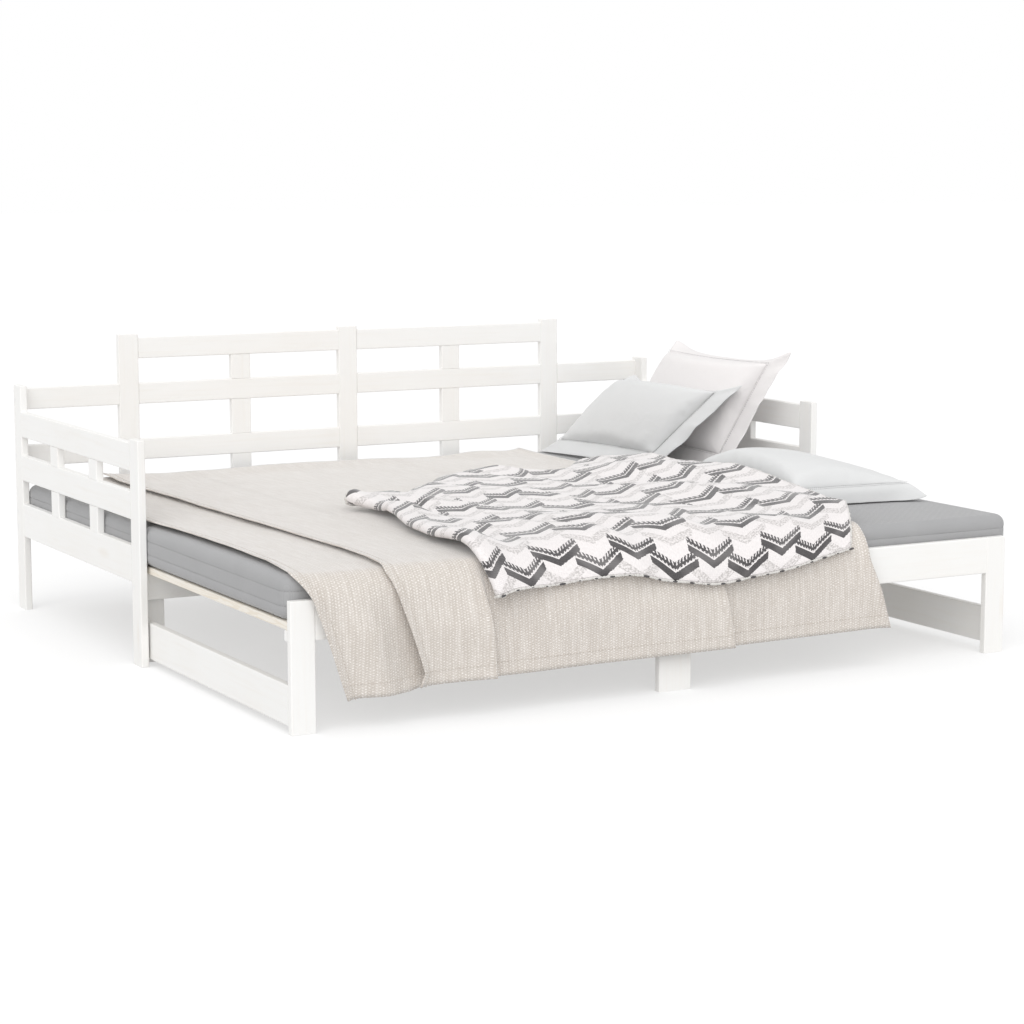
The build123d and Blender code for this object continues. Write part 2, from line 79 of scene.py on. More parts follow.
class Number:
    """A value that varies over a surface. Arithmetic on it adds Math nodes to its graph."""

    def __init__(self, graph, socket):
        self.graph = graph
        self.socket = socket

    def compute(self, operation, *values):
        return self.graph.node("ShaderNodeMath", {"operation": operation}, dict(enumerate(values)))

    def __add__(self, other):
        return self.compute("ADD", self, other)

    def __radd__(self, other):
        return self.compute("ADD", other, self)

    def __sub__(self, other):
        return self.compute("SUBTRACT", self, other)

    def __rsub__(self, other):
        return self.compute("SUBTRACT", other, self)

    def __mul__(self, other):
        return self.compute("MULTIPLY", self, other)

    def __rmul__(self, other):
        return self.compute("MULTIPLY", other, self)

    def __truediv__(self, other):
        return self.compute("DIVIDE", self, other)

    def __gt__(self, other):
        return self.compute("GREATER_THAN", self, other)

    def __lt__(self, other):
        return self.compute("LESS_THAN", self, other)

    def __abs__(self):
        return self.compute("ABSOLUTE", self)

    def fraction(self):
        return self.compute("FRACT", self)

    def larger(self, other):
        return self.compute("MAXIMUM", self, other)

    def wave(self):
        """A sine of this many turns, from 0 to 1."""
        return self.compute("SINE", self * math.tau) * 0.5 + 0.5

    def between(self, low, high):
        """1 where the value lies between two limits, 0 elsewhere."""
        return (self > low) * (self < high)


class Graph:
    """The node tree of a material or of the sky."""

    def __init__(self, tree):
        self.tree = tree

    def feed(self, socket, value):
        if isinstance(value, Number):
            self.tree.links.new(value.socket, socket)
        else:
            socket.default_value = value

    def node(self, kind, settings=None, inputs=None, output=0):
        made = self.tree.nodes.new(kind)
        for name, value in (settings or {}).items():
            setattr(made, name, value)
        for name, value in (inputs or {}).items():
            self.feed(made.inputs[name], value)
        return Number(self, made.outputs[output])

    def outside(self):
        """1 for a ray from the camera, and for what metal or glass shows of the studio."""
        seen = self.node("ShaderNodeLightPath", output="Is Camera Ray")
        rays = seen.socket.node.outputs
        for kind in ("Is Glossy Ray", "Is Transmission Ray"):
            seen = seen.larger(Number(self, rays[kind]))
        return seen


class Finish(Graph):
    """A material and its main shader."""

    def __init__(self, name, colour, roughness, **constants):
        self.material = bpy.data.materials.new(name)
        self.material.use_nodes = True
        super().__init__(self.material.node_tree)
        self.shader = self.tree.nodes["Principled BSDF"]
        self.surface("Base Color", (*colour, 1.0))
        self.surface("Roughness", roughness)
        for socket, value in constants.items():
            self.surface(socket.replace("_", " ").title().replace("Ior", "IOR"), value)

    def surface(self, socket, value):
        self.feed(self.shader.inputs[socket], value)

    def object_place(self):
        return self.node("ShaderNodeTexCoord", output="Object")

    def flat_place(self):
        """Where a point lies on the flat cloth, in metres from its corner."""
        return self.node("ShaderNodeUVMap", {"uv_map": "flat"})

    def axes(self, vector):
        first = self.node("ShaderNodeSeparateXYZ", inputs={0: vector})
        return [Number(self, socket) for socket in first.socket.node.outputs]

    def stretch(self, vector, scale):
        return self.node("ShaderNodeVectorMath", {"operation": "MULTIPLY"}, {0: vector, 1: scale})

    def grain(self, vector, scale, detail=2.0, rough=0.5, twist=0.0):
        inputs = {"Vector": vector, "Scale": scale, "Detail": detail, "Roughness": rough, "Distortion": twist}
        return self.node("ShaderNodeTexNoise", None, inputs)

    def spots(self, vector, scale):
        return self.node("ShaderNodeTexVoronoi", None, {"Vector": vector, "Scale": scale})

    def ramp(self, value, low, high):
        """0 below one limit, 1 above another, smooth between them."""
        settings = {"interpolation_type": "SMOOTHSTEP"}
        return self.node("ShaderNodeMapRange", settings, {0: value, 1: low, 2: high})

    def blend(self, share, first, second):
        inputs = {0: share, 6: first, 7: second}
        return self.node("ShaderNodeMix", {"data_type": "RGBA"}, inputs, output=2)

    def emboss(self, height, depth, strength):
        bump = self.node("ShaderNodeBump", None, {"Height": height, "Distance": depth, "Strength": strength})
        self.surface("Normal", bump)


def tone(red, green, blue):
    """A colour for a socket."""
    return (red, green, blue, 1.0)


# Finishes of the frame
def drawn_out(run, across, along):
    """The scale of a pattern on a board whose grain runs along one axis."""
    scale = [across, across, across]
    scale[run] = along
    return tuple(scale)


def painted_pine(run):
    """White paint on pine: faint grain along the board, and a knot showing through here and there."""
    finish = Finish(f"white_paint_{'xyz'[run]}", (0.9, 0.89, 0.875), roughness=0.42)
    place = finish.object_place()
    lengthwise = finish.stretch(place, drawn_out(run, across=34.0, along=1.6))
    fibre = finish.grain(lengthwise, scale=3.0, detail=4.0, rough=0.6, twist=0.4)
    cloud = finish.grain(place, scale=3.5)
    apart = finish.stretch(place, drawn_out(run, across=7.0, along=2.1))
    knot = 1 - finish.ramp(finish.spots(apart, scale=1.0), low=0.03, high=0.12)
    streaks = finish.ramp(fibre, low=0.45, high=0.75)
    patches = finish.ramp(cloud, low=0.4, high=0.7)
    wood = streaks * 0.3 + patches * 0.25 + knot * 0.6
    finish.surface("Base Color", finish.blend(wood, tone(0.905, 0.9, 0.885), tone(0.86, 0.83, 0.785)))
    finish.surface("Roughness", 0.38 + fibre * 0.14)
    finish.emboss(fibre * 0.7 + knot * 0.6, depth=0.0007, strength=0.5)
    return finish.material


def bare_pine():
    """Planed pale pine: bands of growth rings along the slat, with finer fibres in them."""
    finish = Finish("bare_pine", (0.86, 0.81, 0.73), roughness=0.6)
    place = finish.object_place()
    broad = finish.stretch(place, drawn_out(1, across=26.0, along=1.3))
    fine = finish.stretch(place, drawn_out(1, across=160.0, along=4.0))
    bands = finish.grain(broad, scale=1.6, detail=3.0, rough=0.55, twist=1.2)
    fibre = finish.grain(fine, scale=2.0, detail=3.0, rough=0.6)
    rings_in_band = 9.0
    rings = (bands * rings_in_band).wave()
    wood = finish.ramp(rings, low=0.35, high=1.0) * 0.6 + fibre * 0.3
    finish.surface("Base Color", finish.blend(wood, tone(0.89, 0.85, 0.78), tone(0.8, 0.72, 0.6)))
    finish.emboss(fibre * 0.6 + rings * 0.4, depth=0.0005, strength=0.5)
    return finish.material


def zinc_steel():
    """Bright zinc plate, slightly cloudy."""
    finish = Finish("zinc_steel", (0.66, 0.66, 0.67), roughness=0.32, metallic=1.0)
    cloud = finish.grain(finish.object_place(), scale=260.0, detail=3.0)
    finish.surface("Roughness", 0.24 + cloud * 0.2)
    finish.surface("Base Color", finish.blend(cloud, tone(0.7, 0.7, 0.71), tone(0.58, 0.58, 0.59)))
    return finish.material


def cap_plastic():
    """White moulded plastic with a fine spark texture."""
    finish = Finish("white_plastic", (0.88, 0.88, 0.87), roughness=0.5)
    spark = finish.grain(finish.object_place(), scale=2600.0)
    finish.surface("Roughness", 0.42 + spark * 0.2)
    finish.surface("Base Color", finish.blend(spark, tone(0.9, 0.9, 0.89), tone(0.85, 0.85, 0.84)))
    finish.emboss(spark, depth=0.00008, strength=0.6)
    return finish.material


# Finishes of the mattresses and bedding: one knitted loop, one float of the weave, one cotton thread
loop_wide = 0.0022
loop_high = 0.0018
weave_column = 0.0074
weave_pick = 0.0062
cotton_pitch = 0.0011


def knitted_cover():
    """Grey knit: rows of small loops, a little uneven in tone."""
    finish = Finish("knitted_cover", (0.38, 0.38, 0.385), roughness=0.85, sheen_weight=0.25,
                    sheen_roughness=0.4)
    place = finish.object_place()
    x, y, z = finish.axes(place)
    row_slope = 0.08
    loop_lean = 0.4
    across = (x + y) / loop_wide
    up = (z + (x - y) * row_slope) / loop_high
    loops = across.wave() * (up + (across.fraction() - 0.5) * loop_lean).wave()
    cloud = finish.grain(place, scale=14.0, detail=3.0)
    specks = finish.grain(place, scale=900.0, detail=1.0)
    shade = loops * 0.45 + cloud * 0.3 + specks * 0.35
    finish.surface("Base Color", finish.blend(shade, tone(0.32, 0.32, 0.325), tone(0.44, 0.44, 0.445)))
    finish.emboss(loops * 0.7 + specks * 0.5, depth=0.0004, strength=0.6)
    return finish.material


def beige_weave():
    """Beige weave of thick pale yarn: short floats in staggered columns, slubby and uneven."""
    finish = Finish("beige_weave", (0.68, 0.63, 0.57), roughness=0.9, sheen_weight=1.0, sheen_roughness=0.4)
    place = finish.flat_place()
    across, along, _ = finish.axes(place)
    wander = finish.grain(place, scale=34.0) - 0.5
    column = across / weave_column + wander * 0.7
    within = column.fraction()
    stagger = ((column * 0.5).fraction() > 0.5) * 0.5
    slant = (stagger * 4.0 - 1.0) * (within - 0.5) * 0.4
    pick = along / weave_pick + stagger + slant + wander * 1.4
    ridge = 1.0 - abs(within - 0.5) * 2.0
    float_yarn = finish.ramp(pick.wave(), low=0.25, high=0.95) * finish.ramp(ridge, low=0.1, high=0.85)
    apart = finish.grain(finish.stretch(place, (105.0, 125.0, 1.0)), scale=1.0, detail=1.0)
    slub = finish.grain(finish.stretch(place, (95.0, 9.0, 1.0)), scale=1.0, detail=3.0, rough=0.6)
    fibre = finish.grain(place, scale=330.0)
    cloud = finish.grain(place, scale=4.0)
    floats = float_yarn * (0.3 + finish.ramp(apart, low=0.3, high=0.75) * 0.6)
    white = floats + finish.ramp(slub, low=0.38, high=0.72) * 0.22 + fibre * 0.5 - 0.06
    ground = finish.blend(cloud, tone(0.505, 0.447, 0.393), tone(0.56, 0.507, 0.453))
    finish.surface("Base Color", finish.blend(white, ground, tone(0.9, 0.86, 0.82)))
    finish.emboss(float_yarn * 0.7 + fibre * 0.4, depth=0.0016, strength=0.7)
    return finish.material


# Chevrons of the throw: sizes of one motif, its bands as shares of one drop, and the weave's rib
chevron_column = 0.096
chevron_drop = 0.15
chevron_rise = 0.45
chevron_reach = 0.6
chevron_aside = 0.016
chevron_start = 0.315
chevron_step = 0.27
column_drift = 0.04
row_drift = 0.06
edge_fray = 0.03
tick_pitch = 0.0085
tick_lean = 3.0
tick_gap = 0.33
tick_band = (0.02, 0.165)
tick_core = (0.09, 0.14)
solid_band = (0.195, 0.335)
grey_band = (0.54, 0.72)
rib_pitch = 0.0045


def chevron_weave():
    """Off-white ribbed weave with chevrons at two heights: a ticked one, a solid one and a pale grey one."""
    finish = Finish("chevron_weave", (0.86, 0.84, 0.82), roughness=0.9, sheen_weight=0.7, sheen_roughness=0.4)
    place = finish.flat_place()
    fray = finish.grain(place, scale=240.0) - 0.5
    drift = finish.grain(place, scale=8.0, detail=1.0) - 0.5
    across, along, _ = finish.axes(place)

    def motif(aside, ahead):
        """The dark and the grey parts of every other column."""
        wander = drift * column_drift + fray * edge_fray
        column = across / (2 * chevron_column) + wander + (aside + chevron_aside)
        reach = abs(column.fraction() - 0.5) * 2.0
        fall = along / chevron_drop + reach * chevron_rise + drift * row_drift + fray * edge_fray
        band = (fall + (ahead + chevron_start)).fraction()
        inside = reach < chevron_reach
        teeth = (reach * (chevron_column / tick_pitch) + band * tick_lean).wave() > tick_gap
        ticked = band.between(*tick_band) * teeth.larger(band.between(*tick_core))
        dark = (ticked + band.between(*solid_band)) * inside
        return dark, band.between(*grey_band) * inside

    first, second = motif(0.0, 0.0), motif(0.5, chevron_step)
    dark = first[0].larger(second[0])
    rib = (along / rib_pitch).wave()
    twist = finish.grain(finish.stretch(place, (320.0, 120.0, 1.0)), scale=1.0)
    knots = finish.ramp(finish.grain(place, scale=190.0, detail=1.0), low=0.3, high=0.7)
    faded = finish.ramp(finish.grain(place, scale=11.0, detail=1.0), low=0.48, high=0.7)
    pale = first[1].larger(second[1]) * knots * 0.7
    wool = finish.blend(twist, tone(0.72, 0.685, 0.68), tone(0.97, 0.93, 0.925))
    greyed = finish.blend(pale, wool, tone(0.42, 0.395, 0.38))
    charcoal = finish.blend(twist, tone(0.04, 0.037, 0.039), tone(0.12, 0.112, 0.114))
    worn = finish.blend(faded * 0.75, charcoal, tone(0.21, 0.2, 0.2))
    finish.surface("Base Color", finish.blend(dark, greyed, worn))
    finish.emboss(rib * 0.5 + twist * 0.5 + dark * 0.35, depth=0.0014, strength=0.7)
    return finish.material


def cotton(name, light, shade):
    """Plain cotton: fine square weave with soft creases."""
    finish = Finish(name, light, roughness=0.8, sheen_weight=0.2, sheen_roughness=0.4)
    place = finish.object_place()
    x, y, z = finish.axes(place)
    warp = ((x + z * 0.5) / cotton_pitch).wave()
    weft = ((y + z * 0.5) / cotton_pitch).wave()
    threads = warp * 0.5 + weft * 0.5
    crease = finish.grain(place, scale=16.0, detail=3.0, rough=0.55, twist=0.6)
    cloud = finish.grain(place, scale=5.0)
    finish.surface("Base Color", finish.blend(cloud * 0.6 + threads * 0.25, tone(*light), tone(*shade)))
    finish.emboss(crease + threads * 0.03, depth=0.006, strength=0.35)
    return finish.material


def sewing_thread(name, colour):
    """Twisted sewing thread."""
    finish = Finish(name, colour, roughness=0.7)
    twist = finish.grain(finish.object_place(), scale=1500.0, detail=1.0)
    shade = 0.8
    low = tuple(value * shade for value in colour)
    finish.surface("Base Color", finish.blend(twist, tone(*low), tone(*colour)))
    finish.emboss(twist, depth=0.0002, strength=0.6)
    return finish.material


paint = [painted_pine(run) for run in range(3)]
pine = bare_pine()
steel = zinc_steel()
plastic = cap_plastic()
knit = knitted_cover()
weave = beige_weave()
chevrons = chevron_weave()
grey_cotton = cotton("grey_cotton", light=(0.745, 0.75, 0.75), shade=(0.68, 0.685, 0.685))
white_cotton = cotton("white_cotton", light=(0.85, 0.825, 0.82), shade=(0.8, 0.775, 0.77))
# Charcoal for the dashes along the throw's hem: partly dark tufts, partly a painted shadow line under the
# hem.
charcoal_tufts_and_painted_shadow = sewing_thread("charcoal_tufts_and_painted_shadow", (0.09, 0.085, 0.087))
grey_thread = sewing_thread("grey_thread", (0.5, 0.5, 0.5))
mattress_thread = sewing_thread("mattress_thread", (0.3, 0.3, 0.3))
beige_thread = sewing_thread("beige_thread", (0.66, 0.6, 0.54))
wool_yarn = sewing_thread("wool_yarn", (0.76, 0.74, 0.71))


def dress_frame():
    """Give every node its finish: boards by the way their grain runs, and knit to the soft ones."""
    upright = ("post", "stiles", "leg")
    crosswise = ("stretcher", "left_top_rail", "left_middle_rail", "left_bottom_rail",
                 "right_top_rail", "right_middle_rail", "right_bottom_rail")
    record_slots = {row["node"]: row["material_slot"] for row in frame["record"]["subparts"]}
    for name, node in frame["nodes"].items():
        slot = record_slots[name]
        if slot == "white_paint":
            run = 2 if name.endswith(upright) else 1 if name.endswith(crosswise) else 0
            finish = paint[run]
        else:
            finish = {"bare_pine": pine, "steel": steel, "white_plastic": plastic}.get(slot, knit)
        node.data.materials.clear()
        node.data.materials.append(finish)


# Mesh helpers
def new_piece(name, mesh, material):
    """Put a mesh in the scene as a smooth piece with one material."""
    piece = bpy.data.objects.new(name, mesh)
    scene.collection.objects.link(piece)
    mesh.materials.clear()
    mesh.materials.append(material)
    mesh.shade_smooth()
    return piece


def flat_map(mesh, flat):
    """Keep each point's place on the flat cloth as a UV map, in metres."""
    layer = mesh.uv_layers.new(name="flat")
    corners = np.empty(len(mesh.loops), int)
    mesh.loops.foreach_get("vertex_index", corners)
    layer.data.foreach_set("uv", flat.reshape(-1, 2)[corners].astype(np.float32).ravel())


def grid_faces(rows, columns, closed=False):
    """Quads between the rows of a grid of points. Closed joins the last column to the first."""
    index = np.arange(rows * columns).reshape(rows, columns)
    after = np.roll(index, -1, axis=1)
    if not closed:
        index, after = index[:, :-1], after[:, :-1]
    quads = np.stack([index[:-1], index[1:], after[1:], after[:-1]], axis=-1)
    return quads.reshape(-1, 4).tolist()


def finished(piece):
    """The piece with its modifiers made part of its mesh."""
    graph = bpy.context.evaluated_depsgraph_get()
    mesh = bpy.data.meshes.new_from_object(piece.evaluated_get(graph))
    piece.modifiers.clear()
    old = piece.data
    piece.data = mesh
    bpy.data.meshes.remove(old)
    mesh.name = piece.name
    mesh.shade_smooth()
    return piece


def cloth_piece(name, places, flat, thick, material):
    """A sheet from a grid of points, given its thickness downwards."""
    mesh = bpy.data.meshes.new(name)
    mesh.from_pydata(places.reshape(-1, 3).tolist(), [], grid_faces(*places.shape[:2]))
    flat_map(mesh, flat)
    piece = new_piece(name, mesh, material)
    wall = piece.modifiers.new("wall", "SOLIDIFY")
    wall.thickness = thick
    wall.offset = -1.0
    return finished(piece)


# Curves and bumps over grids of places
def smooth_noise(first, second, wavelength, seed):
    """Soft bumps between about -1 and 1 over a grid of places."""
    spots = zip(first.ravel() / wavelength, second.ravel() / wavelength)
    values = [noise.noise((*spot, seed)) for spot in spots]
    return np.array(values).reshape(first.shape)


def ripple(bump, first, second, seed):
    """Soft bumps that rise and sink by a height, over a wavelength."""
    height, wavelength = bump
    return height * smooth_noise(first, second, wavelength, seed)


def swell(bump, first, second, seed):
    """Soft bumps that only rise, by up to twice a height, over a wavelength."""
    height, wavelength = bump
    return height * (1 + smooth_noise(first, second, wavelength, seed))


def rise(values, low, high):
    """0 below one limit, 1 above another, smooth between them."""
    share = np.clip((values - low) / (high - low), 0.0, 1.0)
    return share * share * (3 - 2 * share)


def hill(values, middle, half):
    """1 at a middle, fading to 0 on both sides of it."""
    return np.exp(-(((values - middle) / half) ** 2))


def smooth_line(points, shares):
    """Places along a smooth line through given points, at shares of its length."""
    points = np.array(points, float)
    chord = np.concatenate([[0.0], np.cumsum(np.linalg.norm(np.diff(points, axis=0), axis=1))])
    chord /= chord[-1]
    slope = np.gradient(points, chord, axis=0)
    step = np.clip(np.searchsorted(chord, shares, side="right") - 1, 0, len(chord) - 2)
    gap = (chord[step + 1] - chord[step])[:, None]
    part = ((shares - chord[step])[:, None]) / gap
    return (points[step] * (2 * part**3 - 3 * part**2 + 1)
            + points[step + 1] * (3 * part**2 - 2 * part**3)
            + slope[step] * gap * (part**3 - 2 * part**2 + part)
            + slope[step + 1] * gap * (part**3 - part**2))


# Rows of stitches, each as pitch, length and width
mattress_stitch = (0.0075, 0.006, 0.0011)
hem_stitch = (0.0085, 0.0055, 0.0014)
flange_stitch = (0.0065, 0.0042, 0.0012)
border_stitch = (0.0062, 0.0085, 0.0058)
# The dark dashes along the throw's hem are partly its charcoal tufts and partly a painted shadow line under
# the hem.
hem_tuft_and_shadow_stitch = (0.043, 0.012, 0.0045)
even_row = 0.15
border_row = 0.35
hem_tuft_and_shadow_row = 0.5


def stitch_tree():
    """Geometry nodes that set small stitches along every edge line of a mesh."""
    tree = bpy.data.node_groups.new("stitch_row", "GeometryNodeTree")
    face = tree.interface
    face.new_socket("Line", in_out="INPUT", socket_type="NodeSocketGeometry")
    for name in ("Pitch", "Stitch Length", "Stitch Width", "Unevenness"):
        face.new_socket(name, in_out="INPUT", socket_type="NodeSocketFloat")
    face.new_socket("Thread", in_out="INPUT", socket_type="NodeSocketMaterial")
    face.new_socket("Stitches", in_out="OUTPUT", socket_type="NodeSocketGeometry")

    def add(kind, **settings):
        made = tree.nodes.new(kind)
        for name, value in settings.items():
            setattr(made, name, value)
        return made

    def join(source, socket, target, goal):
        tree.links.new(source.outputs[socket], target.inputs[goal])

    inputs = add("NodeGroupInput")
    curve = add("GeometryNodeMeshToCurve")
    points = add("GeometryNodeCurveToPoints", mode="LENGTH")
    bead = add("GeometryNodeMeshUVSphere")
    for name, value in (("Segments", 6), ("Rings", 4), ("Radius", 0.5)):
        bead.inputs[name].default_value = value
    uneven = add("FunctionNodeRandomValue", data_type="FLOAT")
    uneven.inputs["Seed"].default_value = 7
    least = add("ShaderNodeMath", operation="SUBTRACT")
    most = add("ShaderNodeMath", operation="ADD")
    for limit in (least, most):
        limit.inputs[0].default_value = 1.0
    size = add("ShaderNodeCombineXYZ")
    varied = add("ShaderNodeVectorMath", operation="SCALE")
    place = add("GeometryNodeInstanceOnPoints")
    solid = add("GeometryNodeRealizeInstances")
    colour = add("GeometryNodeSetMaterial")
    outputs = add("NodeGroupOutput")
    join(inputs, "Line", curve, "Mesh")
    join(curve, "Curve", points, "Curve")
    join(inputs, "Pitch", points, "Length")
    join(inputs, "Unevenness", least, 1)
    join(inputs, "Unevenness", most, 1)
    join(least, 0, uneven, 2)
    join(most, 0, uneven, 3)
    join(inputs, "Stitch Width", size, "X")
    join(inputs, "Stitch Width", size, "Y")
    join(inputs, "Stitch Length", size, "Z")
    join(size, 0, varied, 0)
    join(uneven, 1, varied, "Scale")
    join(points, "Points", place, "Points")
    join(points, "Rotation", place, "Rotation")
    join(bead, "Mesh", place, "Instance")
    join(varied, 0, place, "Scale")
    join(place, "Instances", solid, "Geometry")
    join(solid, "Geometry", colour, "Geometry")
    join(inputs, "Thread", colour, "Material")
    join(colour, "Geometry", outputs, "Stitches")
    return tree


stitches = stitch_tree()


def stitch_rows(name, lines, thread, stitch, uneven=even_row, closed=False):
    """Stitches along lines of points, as one plain mesh."""
    places, edges = [], []
    for line in lines:
        start = len(places)
        places += [tuple(point) for point in line]
        edges += [(spot, spot + 1) for spot in range(start, len(places) - 1)]
        if closed:
            edges.append((len(places) - 1, start))
    mesh = bpy.data.meshes.new(name)
    mesh.from_pydata(places, edges, [])
    piece = new_piece(name, mesh, thread)
    row = piece.modifiers.new("row", "NODES")
    row.node_group = stitches
    values = dict(zip(("Pitch", "Stitch Length", "Stitch Width"), stitch))
    values.update({"Unevenness": uneven, "Thread": thread})
    for item in stitches.interface.items_tree:
        if item.name in values:
            row[item.identifier] = values[item.name]
    return finished(piece)


# Camera at the photograph's angle
film_wide = 36.0
lens_length = 89.0
eye_place = (-3.1878, -5.9169, 1.2732)
eye_tip = 8.10
eye_turn = 28.73


def place_camera():
    """A view from the front left, without roll, tipped down a little."""
    eye = bpy.data.cameras.new("camera")
    eye.sensor_width = film_wide
    eye.lens = lens_length
    camera = bpy.data.objects.new("camera", eye)
    scene.collection.objects.link(camera)
    camera.location = eye_place
    camera.rotation_euler = (math.radians(90.0 - eye_tip), 0.0, math.radians(-eye_turn))
    scene.camera = camera


# Studio: white floor, even sky and one broad lamp
sky_level = 0.78
sun_level = 1.42
sun_spread = 65.0
sun_turn = (50.0, 0.0, -34.0)
floor_half = 45.0
floor_drop = 0.0006
floor_tone = 0.5
floor_glow = 0.27
floor_lift = 0.24


def light_studio():
    """A pale lit floor under an even white sky, with a broad soft lamp from the upper front left."""
    white = tone(1.0, 1.0, 1.0)
    world = bpy.data.worlds.new("studio_sky")
    scene.world = world
    world.use_nodes = True
    sky = Graph(world.node_tree)
    dome = world.node_tree.nodes["Background"]
    dome.inputs["Color"].default_value = white
    sky.feed(dome.inputs["Strength"], sky_level + sky.outside() * (1.0 - sky_level))

    lamp = bpy.data.lights.new("broad_lamp", "SUN")
    lamp.energy = sun_level
    lamp.angle = math.radians(sun_spread)
    holder = bpy.data.objects.new("broad_lamp", lamp)
    scene.collection.objects.link(holder)
    holder.rotation_euler = [math.radians(turn) for turn in sun_turn]

    finish = Finish("studio_floor", (floor_tone, floor_tone, floor_tone), roughness=0.95,
                    specular_ior_level=0.0, emission_color=white, emission_strength=floor_glow)
    lit = Number(finish, finish.shader.outputs[0])
    paler = finish.node("ShaderNodeEmission", None, {"Color": white, "Strength": floor_lift})
    both = finish.node("ShaderNodeAddShader", None, {0: lit, 1: paler})
    shown = finish.node("ShaderNodeMixShader", None, {0: finish.outside(), 1: lit, 2: both})
    finish.feed(finish.tree.nodes["Material Output"].inputs["Surface"], shown)
    mesh = bpy.data.meshes.new("studio_floor")
    signs = ((-1, -1), (1, -1), (1, 1), (-1, 1))
    corners = [(x * floor_half, y * floor_half, -floor_drop) for x, y in signs]
    mesh.from_pydata(corners, [], [(0, 1, 2, 3)])
    new_piece("studio_floor", mesh, finish.material)


# Mattresses
mattress_corner = 0.036
mattress_edge = 0.024
front_overhang = 0.028
corner_points = 10
edge_points = 9
side_points = 41
outline_spacing = 0.03
cap_inset = 0.008
band_count = 3
band_dip = 0.0012
band_margin = 0.2
seam_depth = 0.9
cover_wander = 0.0008
cover_wave = 0.16
cover_squeeze = 3.0
cover_seed = 3.0


def rounded_outline(low, high, inset):
    """Points round a mattress with round corners, drawn in by an inset."""
    radius = mattress_corner - inset
    left, right = low[0] + mattress_corner, high[0] - mattress_corner
    front, rear = low[1] + mattress_corner, high[1] - mattress_corner
    centres = [(right, rear), (left, rear), (left, front), (right, front)]
    arc = np.radians(np.linspace(0.0, 90.0, corner_points))
    ring = []
    for turn, (x, y) in enumerate(centres):
        angles = arc + turn * math.pi / 2
        here = np.stack([x + radius * np.cos(angles), y + radius * np.sin(angles)], axis=1)
        ring.append(here)
        ahead = np.array(centres[(turn + 1) % 4])
        angle = (turn + 1) * math.pi / 2
        goal = ahead + radius * np.array([math.cos(angle), math.sin(angle)])
        count = max(2, round(np.linalg.norm(goal - here[-1]) / outline_spacing))
        ring.append(np.linspace(here[-1], goal, count + 1)[1:-1])
    return np.concatenate(ring)


def at_height(ring, z):
    """An outline's points at one height."""
    return np.column_stack([ring, np.full(len(ring), z)])


def mattress_profile(low, high):
    """How far the side is drawn in at each height: round edges, and a dip at each sewn channel."""
    thick = high - low
    corner = np.sin(np.linspace(-math.pi / 2, 0.0, edge_points))
    heights = np.concatenate([low + mattress_edge * (1 + corner),
                              np.linspace(low + mattress_edge, high - mattress_edge, side_points)[1:-1],
                              (high - mattress_edge * (1 + corner))[::-1]])
    from_edge = np.minimum(heights - low, high - heights)
    curve = np.clip(mattress_edge - from_edge, 0.0, mattress_edge)
    inset = mattress_edge - np.sqrt(mattress_edge**2 - curve**2)
    band = np.abs(np.sin(band_count * math.pi * (heights - low) / thick))
    inside = (heights > low + thick * band_margin) & (heights < high - thick * band_margin)
    return heights, inset + np.where(inside, band_dip * (1 - band) ** 3, 0.0)


def mattress_cover(name, node, overhang):
    """A foam mattress in its knitted cover, with two sewn channels round its sides."""
    low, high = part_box(node)
    high.x += overhang
    heights, insets = mattress_profile(low.z, high.z)
    places = np.array([at_height(rounded_outline(low, high, inset), z) for z, inset in zip(heights, insets)])
    middle = (np.array(low) + np.array(high)) / 2
    round_side = places[..., 0] + places[..., 1]
    bulge = smooth_noise(round_side, places[..., 2] * cover_squeeze, cover_wave, cover_seed)
    places[..., :2] -= np.sign(places[..., :2] - middle[:2]) * (cover_wander * np.abs(bulge))[..., None]
    inner = rounded_outline(low, high, mattress_edge + cap_inset)
    caps = [at_height(inner, z) for z in (low.z, high.z)]
    places = np.concatenate([caps[:1], places, caps[1:]])
    rows, columns = places.shape[:2]
    faces = [tuple(reversed(face)) for face in grid_faces(rows, columns, closed=True)]
    faces.append(tuple(reversed(range(columns))))
    faces.append(tuple(range((rows - 1) * columns, rows * columns)))
    mesh = bpy.data.meshes.new(name)
    mesh.from_pydata(places.reshape(-1, 3).tolist(), [], faces)
    piece = new_piece(name, mesh, knit)
    seam = rounded_outline(low, high, band_dip * seam_depth)
    levels = [low.z + (high.z - low.z) * share / band_count for share in range(1, band_count)]
    seams = [at_height(seam, z) for z in levels]
    thread = stitch_rows(f"{name}_stitches", seams, mattress_thread, mattress_stitch, closed=True)
    return piece, thread


# The line that cloth follows over the mattress edge and down the front
line_foot = 0.02
hang_start = 0.02
level_slack = 0.0005
turn_share = 0.49
top_points = 40
turn_points = 18
link_points = 4
fall_points = 20
side_share = 0.95
side_droop = 0.35


